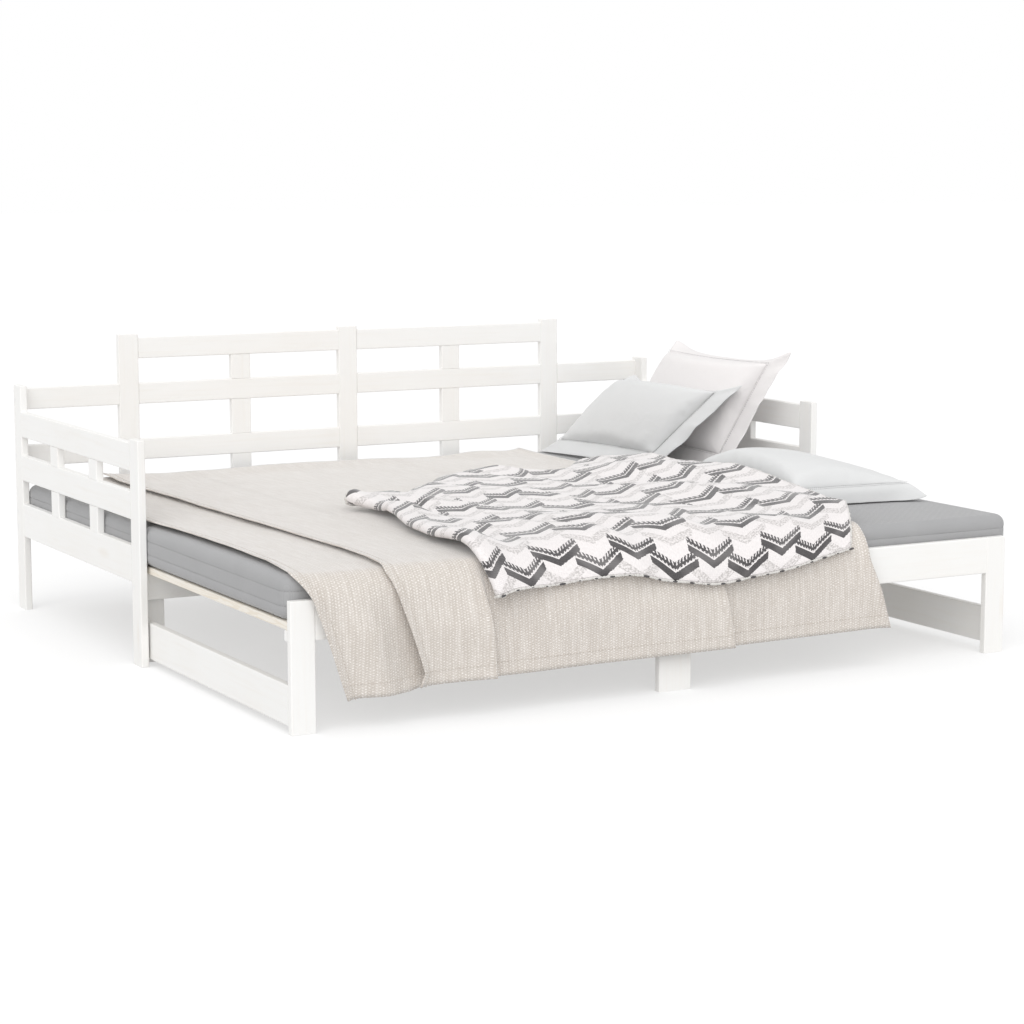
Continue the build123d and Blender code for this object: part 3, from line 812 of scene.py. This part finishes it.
class BedLine:
    """The line that cloth follows: forward over the mattresses, round the given turns and down the front."""

    def __init__(self, bend, *turns):
        foot = Vector((turns[-1][0], line_foot))
        corners = [Vector((back_y, mattress_top)), *(Vector(turn) for turn in turns), foot]
        enter = corners[1] + (corners[0] - corners[1]).normalized() * bend
        line = [np.linspace(corners[0], enter, top_points)]
        share = np.linspace(0.0, 1.0, turn_points)[1:, None]
        for before, corner, after in zip(corners, corners[1:], corners[2:]):
            reach = min(bend, (after - corner).length * turn_share, (before - corner).length * turn_share)
            first = line[-1][-1]
            last = np.array(corner + (after - corner).normalized() * reach)
            line.append((1 - share) ** 2 * first + 2 * share * (1 - share) * np.array(corner)
                        + share**2 * last)
            if after is not foot:
                onward = np.array(after + (corner - after).normalized() * reach)
                line.append(np.linspace(last, onward, link_points)[1:])
        line.append(np.linspace(line[-1][-1], foot, fall_points)[1:])
        self.points = np.concatenate(line)
        steps = np.linalg.norm(np.diff(self.points, axis=0), axis=1)
        self.along = np.concatenate([[0.0], np.cumsum(steps)]) - back_y
        slope = np.gradient(self.points, self.along, axis=0)
        outward = np.stack([slope[:, 1], -slope[:, 0]], axis=1)
        self.outward = outward / np.linalg.norm(outward, axis=1)[:, None]
        self.hang = float(self.along[np.argmax(self.points[:, 1] < rail_top + hang_start)])

    def place(self, x, along, lift):
        """Points on the dressed bed, lifted off it."""
        y, z = (np.interp(along, self.along, self.points[:, axis]) for axis in (0, 1))
        out_y, out_z = (np.interp(along, self.along, self.outward[:, axis]) for axis in (0, 1))
        past_side = np.clip(mattress_left + mattress_edge - x, 0.0, mattress_edge * side_share)
        round_side = mattress_edge - np.sqrt(mattress_edge**2 - past_side**2)
        droop = side_droop * round_side * np.clip(out_z, 0.0, 1.0)
        return np.stack([x, y + out_y * lift, z + out_z * lift - droop], axis=-1)

    def past(self, along, span):
        """0 before a stretch, 1 after it. The stretch is measured from where the cloth starts to hang."""
        return rise(along, self.hang + span[0], self.hang + span[1])

    def hang_to(self, z):
        """The distance along the line where it comes down to height z."""
        falling = self.points[:, 1] < mattress_top - level_slack
        return np.interp(-np.asarray(z), -self.points[falling, 1], self.along[falling])

    def outline(self, *spots):
        """Edge points of a cloth, in millimetres: from the left end and the back, or 'hang' height."""
        points = []
        for x, second, *hanging in spots:
            along = float(self.hang_to(second / 1000.0)) if hanging else second / 1000.0 - back_y
            points.append((left_outer + x / 1000.0, along))
        return points


edge_bend = 0.023
edge_ease = 0.004
rail_ease = 0.012
bed_edge = BedLine(edge_bend, (mattress_front + edge_ease, mattress_top), (front_y, rail_top + rail_ease))

# Bedspread and under blanket: layers, grids and pleats
cloth_thick = 0.0035
cloth_lift = 0.0012
layer_lift = 0.0052
spread_rows = 190
spread_columns = 170
pleat_columns = 26
pleat_half = 0.011
pleat_overlap = 0.009
pleat_cloth = 4 * pleat_overlap
pleat_climb = 1.6
pleat_turn = 0.55
blanket_belly = 0.028
belly_middle = 0.077
belly_half = 0.042
hem_row = 3
stitch_lift = 0.0006

# Stretches where the cloth stops lying, starts hanging and opens out, from where it starts to hang
lying_span = (-0.16, -0.05)
hanging_span = (-0.06, 0.06)
opening_span = (-0.03, 0.13)

# Unevenness of the cloth: height and wavelength of its bumps, how far they reach,
# and how much slower they change across or along it
bed_swell = (0.0022, 0.34)
bed_ripple = (0.0011, 0.11)
bed_crease = (0.0004, 0.035)
bed_crease_across = 0.5
fall_swell = (0.0028, 0.14)
fall_swell_along = 0.25
fall_crease = (0.0008, 0.045)
fall_crease_along = 0.3
sway_wave = 0.2
sway_lean = 0.6
sway_along = 0.5
back_wander = 0.012
back_waves = 6.0
side_wander = (0.004, 0.21)
side_reach = 0.1
puff_high = 0.009
puff_wave = 0.17
puff_along = 0.5
puff_reach = 0.14
curl_reach = 0.022
curl_opening = 1.3


def between_lines(lines, across, along):
    """X of every point of a cloth, between lines along it: pairs of a share across and the line's points."""
    marks = []
    for _, points in lines:
        line_x, line_along = zip(*points)
        marks.append(np.interp(along, line_along, line_x))
    x = marks[0].copy()
    for number in range(1, len(lines)):
        start, end = lines[number - 1][0], lines[number][0]
        x += (marks[number] - marks[number - 1]) * np.clip((across - start) / (end - start), 0.0, 1.0)
    return x


def pleated(across, lines, low, highs):
    """Height of the pleats, and how far the cloth doubles back at each: a panel laps over the next one."""
    shares = [share for share, _ in lines]
    panel = np.clip(np.searchsorted(shares, across, side="right") - 1, 0, len(shares) - 2)
    starts, ends = np.array(shares[:-1])[panel], np.array(shares[1:])[panel]
    height = low + (np.array(highs)[panel] - low) * ((across - starts) / (ends - starts)) ** pleat_climb
    back = np.zeros(across.shape)
    for share, high in zip(shares[1:-1], highs):
        step = (across - share) / pleat_half
        near = np.abs(step) < 1
        height = np.where(near, high + (low - high) * rise(step, -pleat_turn, pleat_turn), height)
        back += np.where(near, -np.sin(math.pi * step), 0.0)
    return height, back


def bed_cloth(name, lines, hems, lift, pleats, back, loose, belly, sway, seed):
    """A woven cloth over both mattresses that hangs down the front in soft pleats."""
    shares = np.linspace(0, 1, spread_columns)
    folds_at = [share for share, _ in lines[1:-1]]
    for share in folds_at:
        shares = np.concatenate([shares, share + np.linspace(-pleat_half, pleat_half, pleat_columns)])
    across, down = np.meshgrid(np.unique(shares), np.linspace(0, 1, spread_rows))
    level = np.zeros_like(across)
    end = bed_edge.hang_to(np.interp(across, *zip(*hems)))
    start = back + back_wander * smooth_noise(across * back_waves, level, 1.0, seed)
    along = start + (end - start) * down
    x = between_lines(lines, across, along)
    from_side = np.minimum(across, 1 - across) * (x[0, -1] - x[0, 0])
    x += ripple(side_wander, along, level, seed + 1) * np.exp(-from_side / side_reach)
    wide = x[0, -1] - x[0, 0]

    top = 1 - bed_edge.past(along, lying_span)
    hanging = bed_edge.past(along, hanging_span)
    opening = bed_edge.past(along, opening_span)
    ease = swell(bed_swell, x, along, seed + 3) + swell(bed_ripple, x, along, seed + 4)
    ease = ease + ripple(bed_crease, x * bed_crease_across, along, seed + 5)
    loft = np.clip(0.5 + smooth_noise(x, along * puff_along, puff_wave, seed + 6), 0, 1)
    puffed = rise(-along, -start.min() - puff_reach, -start.min()) * loft
    folds, lap = pleated(across, lines, *pleats)
    small = swell(fall_swell, x, along * fall_swell_along, seed + 7)
    small = small + ripple(fall_crease, x, along * fall_crease_along, seed + 8)
    sides = zip(loose, (across * wide, (1 - across) * wide))
    curl = sum(high * np.exp(-gap / curl_reach) for high, gap in sides) * (1 + curl_opening * opening)
    bulge = belly * hill(across, belly_middle, belly_half)
    swing = swell((sway, sway_wave), x + along * sway_lean, along * sway_along, seed + 9)
    lying = top * (ease + puff_high * puffed)
    height = lift + lying + hanging * small + opening * (folds + bulge + swing) + curl

    doubled = sum(pleat_cloth * rise((across - share) / pleat_half, -1.0, 1.0) for share in folds_at)
    flat = np.stack([x - x.min() + doubled, along - along.min()], axis=-1)
    x = x + pleat_overlap * opening * lap
    piece = cloth_piece(name, bed_edge.place(x, along, height), flat, cloth_thick, weave)
    size = (float((x[:, -1] - x[:, 0]).mean()), float((end - start).mean()))
    raised = bed_edge.place(x, along, height + stitch_lift)
    hem_lines = [raised[-1 - hem_row], raised[:, hem_row]]
    thread = stitch_rows(f"{name}_stitches", hem_lines, beige_thread, hem_stitch)
    return piece, thread, size


def under_blanket():
    """The lower layer: it shows along the left end and at the front left."""
    left = bed_edge.outline((62, 69), (40, 774), (38, 950), (52, 1190), (57, 1430), (54, 1640), (38, 1815),
                            (74, 300, "hang"), (155, 60, "hang"))
    middle = bed_edge.outline((400, 69), (400, 1830), (450, 60, "hang"))
    right = bed_edge.outline((1402, 69), (1402, 1830), (1402, 60, "hang"))
    lines = [(0.0, left), (0.24, middle), (1.0, right)]
    hems = [(0.0, 0.071), (0.13, 0.0735), (0.2, 0.094), (1.0, 0.112)]
    return bed_cloth("under_blanket_cloth", lines, hems, lift=cloth_lift, pleats=(0.0005, (0.0035, 0.0035)),
                     back=-0.868, loose=(0.0105, 0.0), belly=blanket_belly, sway=0.0, seed=11.0)


def bedspread():
    """The upper layer, with two pleats along the front."""
    left = bed_edge.outline((229, 69), (237, 390), (274, 1566), (263, 1830), (284, 290, "hang"),
                            (316, 180, "hang"), (336, 115, "hang"), (322, 85, "hang"))
    first = bed_edge.outline((490, 69), (495, 1830), (498, 290, "hang"), (512, 80, "hang"))
    second = bed_edge.outline((1130, 69), (1120, 1830), (1130, 290, "hang"), (1165, 80, "hang"))
    right = bed_edge.outline((1575, 69), (1575, 490), (1568, 1830), (1571, 276, "hang"), (1630, 90, "hang"))
    lines = [(0.0, left), (0.19, first), (0.66, second), (1.0, right)]
    hems = [(0.0, 0.085), (1.0, 0.104)]
    return bed_cloth("bedspread_cloth", lines, hems, lift=cloth_lift + layer_lift,
                     pleats=(0.005, (0.03, 0.028, 0.01)), back=-0.866, loose=(0.008, 0.008), belly=0.0,
                     sway=0.009, seed=23.0)


# Pillows: the filled case
pillow_cells = (44, 34)
pillow_frames = 12
case_start = 0.02
case_cloth = {"quality": 6, "mass": 0.25, "tension_stiffness": 18.0, "compression_stiffness": 18.0,
              "bending_stiffness": 0.35, "use_pressure": True, "uniform_pressure_force": 0.8}
fill_middle = 0.675
fill_lean = 0.325
pucker_high = 0.006
pucker_wave = 0.045
pucker_fine = (0.6, 0.02)
pucker_reach = 0.025
case_ripple = (0.004, 0.16)
case_ripple_start = 0.05

# Pillows: the flange round the case, with half its thickness at each step as a share, and how they lie
flange_wide = 0.052
flange_thick = 0.0032
flange_steps = np.linspace(-0.06, 1.0, 9)
flange_halves = np.array([0.5, 0.5, 0.46, 0.46, 0.46, 0.46, 0.46, 0.52, 0.34])
rim_follow = 0.85
corner_tie = 0.001
droop_passes = 30
droop_start = 0.5
corner_hold = 0.5
corner_sharp = 6
flutter_turns = 3.2
flutter_high = 0.009
ripple_turns = 11.0
ripple_high = 0.0045
flutter_climb = 1.3
row_out = (1.014, 1.014, 1.0)
row_lift = 0.62
pillow_gap = 0.0015
pillow_rest = 0.010


def case_panels(width, height):
    """Two flat panels sewn together round their edges: points, faces, and the seam's points in order."""
    columns, rows = pillow_cells
    across, up = np.meshgrid(np.linspace(-width / 2, width / 2, columns + 1),
                             np.linspace(-height / 2, height / 2, rows + 1))
    bulge = case_start * np.cos(math.pi * across / width) ** 0.5 * np.cos(math.pi * up / height) ** 0.5
    bulge[:, [0, -1]] = 0.0
    bulge[[0, -1], :] = 0.0
    front = np.stack([across, up, bulge], axis=-1).reshape(-1, 3)
    index = np.arange(len(front)).reshape(across.shape)
    inner = index[1:-1, 1:-1].ravel()
    twin = index.copy()
    twin[1:-1, 1:-1] = len(front) + np.arange(len(inner)).reshape(rows - 1, columns - 1)
    places = np.concatenate([front, front[inner] * (1, 1, -1)])
    faces = []
    for grid, order in ((index, 1), (twin, -1)):
        quads = np.stack([grid[:-1, :-1], grid[:-1, 1:], grid[1:, 1:], grid[1:, :-1]], axis=-1).reshape(-1, 4)
        faces += quads[:, ::order].tolist()
    seam = np.concatenate([index[0, :-1], index[:-1, -1], index[-1, :0:-1], index[:0:-1, 0]])
    return places, faces, seam


def blown_case(name, width, height):
    """A pillow case blown up by a short cloth simulation, in its own flat frame."""
    places, faces, seam = case_panels(width, height)
    mesh = bpy.data.meshes.new(name)
    mesh.from_pydata(places.tolist(), [], faces)
    piece = new_piece(name, mesh, grey_cotton)
    air = piece.modifiers.new("air", "CLOTH")
    for setting, value in case_cloth.items():
        setattr(air.settings, setting, value)
    air.settings.effector_weights.gravity = 0.0
    for number in range(1, pillow_frames + 1):
        scene.frame_set(number)
    graph = bpy.context.evaluated_depsgraph_get()
    blown = piece.evaluated_get(graph).to_mesh()
    result = np.array([vertex.co for vertex in blown.vertices])
    bpy.data.objects.remove(piece)
    scene.frame_set(1)
    return result, faces, seam


def filled_case(size, crown, base, seed):
    """A pillow without its flange, fuller towards its high edge and puckered along its seam."""
    body, faces, seam = blown_case("pillow_case", *size)
    flat, _, _ = case_panels(*size)
    half = size / 2
    across, up = flat[:, 0], flat[:, 1]
    high = body[:, 2].max()
    low = -body[:, 2].min()
    fuller = fill_middle + fill_lean * up / half[1]
    body[:, 2] = fuller * np.where(body[:, 2] > 0, body[:, 2] * crown / high, body[:, 2] * base / low)
    inward = np.min(half - np.abs(flat[:, :2]), axis=1)
    pucker = smooth_noise(across, up, pucker_wave, seed + 9) + ripple(pucker_fine, across, up, seed + 10)
    body[:, 2] += pucker_high * pucker * np.exp(-inward / pucker_reach) * (inward > 0.0)
    body[:, 2] += ripple(case_ripple, across, up, seed + 11) * rise(inward, 0.0, case_ripple_start)
    return body, faces, body[seam], flat[seam, :2] / half


def flange_droop(corner, droop):
    """How far the flange droops at each point of the seam, from 0 for straight out to 1 for right back."""
    sides = np.stack([-corner[:, 0], corner[:, 0], -corner[:, 1], corner[:, 1]])
    falling = np.array(droop)[np.argmax(sides + corner_tie * np.arange(4)[:, None], axis=0)]
    for _ in range(droop_passes):
        falling = (np.roll(falling, 1) + 2 * falling + np.roll(falling, -1)) / 4
    return falling * (1 - corner_hold * np.min(np.abs(corner), axis=1) ** corner_sharp)


def round_noise(count, turns, seed):
    """Soft bumps that close up round a seam of so many points."""
    angles = np.arange(count) / count * math.tau
    spots = [(turns * math.cos(angle), turns * math.sin(angle), seed) for angle in angles]
    return np.array([noise.noise(spot) for spot in spots])


def pillow_flange(size, body_size, sewn, corner, droop, seed):
    """Rings of points from the seam out to the edge of the flange, and back along its other face."""
    drawn = sewn[:, :2] / (body_size / 2) - corner
    rim = (corner + drawn * rim_follow) * np.array(size) / 2
    falling = flange_droop(corner, droop)
    flutter = round_noise(len(sewn), flutter_turns, seed) * flutter_high
    flutter = flutter + round_noise(len(sewn), ripple_turns, seed + 5) * ripple_high
    outward = rim - sewn[:, :2]
    outward /= np.linalg.norm(outward, axis=1)[:, None]
    reach = np.zeros(len(sewn))
    drop = np.zeros(len(sewn))
    rings, normals = [], []
    for number, step in enumerate(flange_steps):
        out = max(step, 0)
        stride = flange_steps[1] - flange_steps[0] if number else flange_steps[0]
        angle = falling * math.pi / 2 * min(1.0, droop_start + out)
        reach += stride * np.cos(angle)
        drop += stride * np.sin(angle) * (number > 0)
        ring = np.empty((len(sewn), 3))
        ring[:, :2] = sewn[:, :2] + (rim - sewn[:, :2]) * reach[:, None]
        ring[:, 2] = sewn[:, 2] + flutter * out**flutter_climb - drop * flange_wide
        rings.append(ring)
        normals.append(np.column_stack([outward * np.sin(angle)[:, None], np.cos(angle)]))
    half = np.array(normals) * flange_halves[:, None, None] * flange_thick
    rings = np.array(rings)
    return np.concatenate([rings + half, (rings - half)[::-1]])


def pillow(name, corners, material, size, crown, base, droop, seed):
    """A pillow between the corners of its front, left and right of its low edge and then of its high edge.

    Its flange droops back by side: left, right, low, high.
    """
    left_low, right_low, left_high, right_high = (np.array(corner) for corner in corners)
    body_size = np.array(size) - 2 * flange_wide
    body, faces, sewn, corner = filled_case(body_size, crown, base, seed)
    flange = pillow_flange(size, body_size, sewn, corner, droop, seed)
    along = (right_low + right_high - left_low - left_high) / 2
    upward = (left_high + right_high - left_low - right_low) / 2
    facing = np.cross(along, upward)
    facing /= np.linalg.norm(facing)
    floor = mattress_top + pillow_gap

    def placed(local):
        across = (local[..., 0] / size[0] + 0.5)[..., None]
        up = (local[..., 1] / size[1] + 0.5)[..., None]
        low = left_low + (right_low - left_low) * across
        high = left_high + (right_high - left_high) * across
        spot = low + (high - low) * up + facing * local[..., 2:3]
        below = np.clip(floor + pillow_rest - spot[..., 2], 0.0, None)
        settled = floor + pillow_rest * np.exp(-below / pillow_rest)
        spot[..., 2] = np.where(below > 0, settled, spot[..., 2])
        return spot

    ring = flange.shape[1]
    rim = np.array(grid_faces(len(flange) + 1, ring, closed=True))
    rim = np.where(rim >= len(flange) * ring, rim - len(flange) * ring, rim) + len(body)
    places = np.concatenate([placed(body), placed(flange.reshape(-1, 3))])
    mesh = bpy.data.meshes.new(name)
    mesh.from_pydata(places.tolist(), [], faces + rim[:, ::-1].tolist())
    piece = new_piece(name, mesh, material)
    smoother = piece.modifiers.new("smoother", "SUBSURF")
    smoother.levels = 1
    smoother.render_levels = 1
    piece = finished(piece)
    above = (0.0, 0.0, flange_thick * row_lift)
    rows = [placed(sewn * row_out + above), placed(sewn * row_out - above)]
    thread = stitch_rows(f"{name}_stitches", rows, grey_thread, flange_stitch, closed=True)
    return piece, thread


def from_right_end(corners):
    """Pillow corners, in millimetres: in from the right end, forward from the back, over the mattress."""
    return [(right_end - inset / 1000.0, back_y - depth / 1000.0, mattress_top + height / 1000.0)
            for inset, depth, height in corners]


grey_corners = from_right_end(((376, 48, 2), (306, 602, 2), (148, 222, 272), (148, 842, 280)))
white_corners = from_right_end(((168, 160, 1), (168, 770, 1), (38, 275, 370), (38, 914, 370)))
flat_corners = from_right_end(((-6, 1545, 50), (6, 940, 50), (452, 1515, 50), (452, 920, 50)))

# Throw: its line and its edges, its flat size, its spread as it lies and the width of its hem
throw_bend = 0.14
throw_clear = 0.022
throw_edge = BedLine(throw_bend, (front_y - throw_clear, mattress_top))
throw_left = throw_edge.outline((542, 1018), (572, 1115), (558, 1240), (516, 1430), (497, 1590), (489, 1730),
                                (490, 1810), (508, 269, "hang"))
throw_rear = throw_edge.outline((542, 1018), (612, 985), (690, 920), (745, 890), (887, 770), (1091, 560),
                                (1215, 505), (1265, 600), (1330, 665), (1410, 640), (1500, 550), (1570, 490),
                                (1660, 430))
throw_right = throw_edge.outline((1660, 430), (1665, 560), (1650, 700), (1630, 830), (1610, 1003),
                                 (1595, 1233), (1605, 1392), (1630, 1549), (1622, 1655), (1512, 297, "hang"))
throw_front = throw_edge.outline((508, 269, "hang"), (545, 275, "hang"), (657, 281, "hang"),
                                 (750, 285, "hang"), (862, 285, "hang"), (990, 268, "hang"),
                                 (1105, 254, "hang"), (1222, 262, "hang"), (1328, 271, "hang"),
                                 (1408, 283, "hang"), (1512, 297, "hang"))
throw_wide = 1.12
throw_long = 1.35
hem_width = 0.981
throw_thick = 0.0045
throw_loft = 0.005
throw_rows = 210
throw_columns = 170
throw_seed = 41.0

# Throw: ridges that lean over, low ones across them, and where they are strong
ridge_high = 0.025
ridge_pitch = 0.24
ridge_way = (0.89, 0.45)
ridge_climb = 0.72
ridge_fall = 0.28
ridge_warp = (0.05, 0.3)
cross_high = 0.004
cross_pitch = 0.33
cross_way = (0.83, 0.55)
cross_warp = 1.4
cross_start = 0.3
ridge_left = 0.9
ridge_fade = 0.4
ridge_vary = (0.8, 0.3)
ridge_limits = (0.15, 1.3)
crumple = (0.0016, 0.06)
fall_folds = 0.4
fall_span = (-0.14, 0.0)
edge_folds = 0.3
calm_rear = 0.07
calm_left = 0.06

# Throw: its rolled left edge
roll_columns = 20
roll_turn = math.radians(310.0)
roll_radius = 0.0135
roll_wander = (0.0035, 0.14)
roll_corner = 0.007
roll_corner_reach = 0.1
roll_push = 0.08
roll_shoulder = 0.06
roll_tighten = 0.32

# Throw: its swell at the bed's edge and its waving hem
edge_hump = 0.008
edge_hump_back = 0.05
edge_hump_half = 0.07
hem_wave = 0.003
hem_pitch = 0.155
hem_span = (0.0, 0.05)
hem_out = 0.003

# Throw: the hump along its right side, at millimetres from the back, and how it bridges what it lies on
hump_depths = (430, 660, 800, 1003, 1233, 1392, 1549, 1700, 1800)
hump_heights = (0.008, 0.02, 0.036, 0.056, 0.064, 0.056, 0.032, 0.012, 0.0)
hump_side = (0.1, 0.63)
hump_climb = 1.5
carry_end = 0.03
carry_gap = 0.002
bridge_passes = 14
settle_passes = 6
ray_start = 2.0


def patch(left, right, rear, front, rows, columns):
    """A grid of places between four edges."""
    across = np.linspace(0, 1, columns)
    down = np.linspace(0, 1, rows)
    west, east = smooth_line(left, down)[:, None, :], smooth_line(right, down)[:, None, :]
    north, south = smooth_line(rear, across)[None, :, :], smooth_line(front, across)[None, :, :]
    across, down = across[None, :, None], down[:, None, None]
    corners = ((1 - across) * (1 - down) * west[0, 0] + across * (1 - down) * east[0, 0]
               + (1 - across) * down * west[-1, 0] + across * down * east[-1, 0])
    return (1 - across) * west + across * east + (1 - down) * north + down * south - corners


def heights_over(pieces, x, y):
    """The height of the highest piece at each place, or the mattress top."""
    found = np.full(x.shape, mattress_top)
    for piece in pieces:
        tree = BVHTree.FromObject(piece, bpy.context.evaluated_depsgraph_get())
        for spot in np.ndindex(x.shape):
            hit = tree.ray_cast(Vector((x[spot], y[spot], ray_start)), Vector((0, 0, -1)))[0]
            if hit is not None:
                found[spot] = max(found[spot], hit.z)
    return found


def around(values):
    """The sum of the four neighbours of each value of a grid."""
    padded = np.pad(values, 1, mode="edge")
    return padded[:-2, 1:-1] + padded[2:, 1:-1] + padded[1:-1, :-2] + padded[1:-1, 2:]


def softened(values, rows):
    """Values of a grid spread to their neighbours, as stiff cloth bridges a step."""
    for _ in range(bridge_passes):
        values = np.where(rows, np.maximum(values, around(values) / 4), values)
    for _ in range(settle_passes):
        values = (around(values) + 4 * values) / 8
    return values


def throw_folds(x, along, across):
    """Height of the soft ridges of the throw."""
    warp = ripple(ridge_warp, x, along, throw_seed)
    wave = np.mod((x * ridge_way[0] - along * ridge_way[1] + warp) / ridge_pitch, 1.0)
    climbing = np.sin(math.pi / 2 * wave / ridge_climb)
    falling = np.cos(math.pi / 2 * (wave - ridge_climb) / ridge_fall)
    leaning = np.where(wave < ridge_climb, climbing, falling) ** 2
    turns = (along * cross_way[1] - x * cross_way[0] + warp * cross_warp) / cross_pitch + cross_start
    crossing = np.sin(math.tau * turns) * 0.5 + 0.5
    varied = ripple(ridge_vary, x, along, throw_seed + 2)
    patchy = np.clip(ridge_left - ridge_fade * across + varied, *ridge_limits)
    fine = ripple(crumple, x, along, throw_seed + 3)
    folds = ridge_high * leaning * patchy + cross_high * crossing + fine
    lying = 1 - throw_edge.past(along, fall_span)
    return folds * (fall_folds + (1 - fall_folds) * lying)


def rolled_edge(x, along, height, roll, raised, from_hem):
    """The left edge of the throw, rolled under: its places, and the same on the flat cloth."""
    turn = np.linspace(roll_turn, 0.0, roll_columns, endpoint=False)[None, :]
    tight = roll * (1 - roll_tighten * turn / roll_turn)
    level = 0 * turn
    places = throw_edge.place(x - tight * np.sin(turn), along + level, height - roll + tight * np.cos(turn))
    places[..., 2] += raised
    return places, np.stack([-roll * turn, -from_hem + level], axis=-1)


def throw_blanket(carriers):
    """A thick woven throw, dropped loosely: a rolled left edge, soft ridges, a hanging front."""
    spots = patch(throw_left, throw_right, throw_rear, throw_front, throw_rows, throw_columns)
    x, along = spots[..., 0], spots[..., 1]
    across, down = np.meshgrid(np.linspace(0, 1, throw_columns), np.linspace(0, 1, throw_rows))
    from_left, from_rear = across * throw_wide, down * throw_long
    hang = throw_edge.hang
    left_along = along[:, :1]
    roll = roll_radius + ripple(roll_wander, left_along, np.zeros_like(left_along), throw_seed + 4)
    roll = roll + roll_corner * np.exp(-from_rear[:, :1] / roll_corner_reach)
    x = x + roll * np.exp(-from_left / roll_push)
    calm = rise(from_rear, 0.0, calm_rear) * rise(from_left, 0.0, calm_left)
    folds = throw_folds(x, along, across) * (edge_folds + (1 - edge_folds) * calm)
    body = throw_loft + folds + 2 * roll * hill(from_left, 0.0, roll_shoulder)
    edge = edge_hump * hill(along - hang, -edge_hump_back, edge_hump_half)
    hem = hem_wave * (1 + np.sin(math.tau * x / hem_pitch)) * throw_edge.past(along, hem_span)
    height = cloth_lift + 2 * layer_lift + throw_thick + body + edge + hem
    places = throw_edge.place(x, along, height)

    depth = (along + back_y) * 1000.0
    hump = np.interp(depth, hump_depths, hump_heights) * rise(x, *hump_side) ** hump_climb
    flatter = throw_edge.place(x, along, np.zeros(x.shape))
    carried = heights_over(carriers, flatter[..., 0], flatter[..., 1]) - mattress_top
    on_top = along < hang - carry_end
    carried = softened(np.where(on_top, carried, 0.0), on_top)
    raised = np.maximum(carried + carry_gap * (carried > carry_gap), hump)
    places[..., 2] += raised

    steps = np.linalg.norm(np.diff(places, axis=0), axis=2)[::-1]
    from_hem = np.concatenate([np.zeros((1, throw_columns)), np.cumsum(steps, axis=0)])[::-1]
    flat = np.stack([across * hem_width, -from_hem], axis=-1)
    rolled, rolled_flat = rolled_edge(x[:, :1], left_along, height[:, :1], roll, raised[:, :1],
                                      from_hem[:, :1])
    flat = np.concatenate([rolled_flat, flat], axis=1)
    places = np.concatenate([rolled, places], axis=1)
    piece = cloth_piece("throw_cloth", places, flat, throw_thick, chevrons)
    sunk = throw_thick / 2
    border = np.concatenate([places[:, 0], places[-1, 1:], places[-2::-1, -1], places[0, -2:0:-1]])
    yarn = stitch_rows("throw_edge_yarn", [border - (0.0, 0.0, sunk)], wool_yarn, border_stitch,
                       uneven=border_row, closed=True)
    # Charcoal dashes just in front of the hem's lower edge: partly the throw's dark tufts, partly a painted
    # shadow line under the hem.
    hem_line = places[-1, roll_columns:] - (0.0, hem_out, sunk)
    dark = stitch_rows("throw_hem_tufts_and_painted_shadow", [hem_line], charcoal_tufts_and_painted_shadow, hem_tuft_and_shadow_stitch, uneven=hem_tuft_and_shadow_row)
    return piece, yarn, dark


# Put the bed together
place_camera()
light_studio()
dress_frame()

rear_cover, rear_seams = mattress_cover("rear_mattress_cover", "rear_mattress", overhang=0.0)
front_cover, front_seams = mattress_cover("front_mattress_cover", "front_mattress", overhang=front_overhang)
blanket, blanket_thread, blanket_size = under_blanket()
spread, spread_thread, spread_size = bedspread()
grey_case, grey_row = pillow("grey_pillow_case", grey_corners, grey_cotton, size=(0.6, 0.34), crown=0.1,
                             base=0.024, droop=(0.6, 0.2, 0.0, 1.0), seed=3.0)
white_case, white_row = pillow("white_pillow_case", white_corners, white_cotton, size=(0.62, 0.4), crown=0.1,
                               base=0.06, droop=(0.6, 0.15, 0.0, 0.85), seed=8.0)
flat_case, flat_row = pillow("flat_pillow_case", flat_corners, grey_cotton, size=(0.6, 0.456), crown=0.1,
                             base=0.07, droop=(1.0, 0.8, 0.9, 0.8), seed=14.0)
throw, throw_yarn, hem_tufts_and_painted_shadow = throw_blanket([flat_case])

for piece in (rear_cover, rear_seams, grey_case, grey_row, white_case, white_row):
    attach(piece, "day_bed")
for piece in (front_cover, front_seams, flat_case, flat_row):
    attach(piece, "trundle")
    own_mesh(piece)
for piece in (blanket, blanket_thread, spread, spread_thread, throw, throw_yarn, hem_tufts_and_painted_shadow):
    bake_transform(piece)

stands_for = {
    "rear_mattress": (rear_cover, "mattress_cover"), "front_mattress": (front_cover, "mattress_cover"),
    "under_blanket": (blanket, "beige_weave"), "bedspread": (spread, "beige_weave"),
    "throw_blanket": (throw, "chevron_throw"), "grey_pillow": (grey_case, "grey_cotton"),
    "white_pillow": (white_case, "white_cotton"), "flat_pillow": (flat_case, "grey_cotton"),
}
for node, (piece, slot) in stands_for.items():
    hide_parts(node)
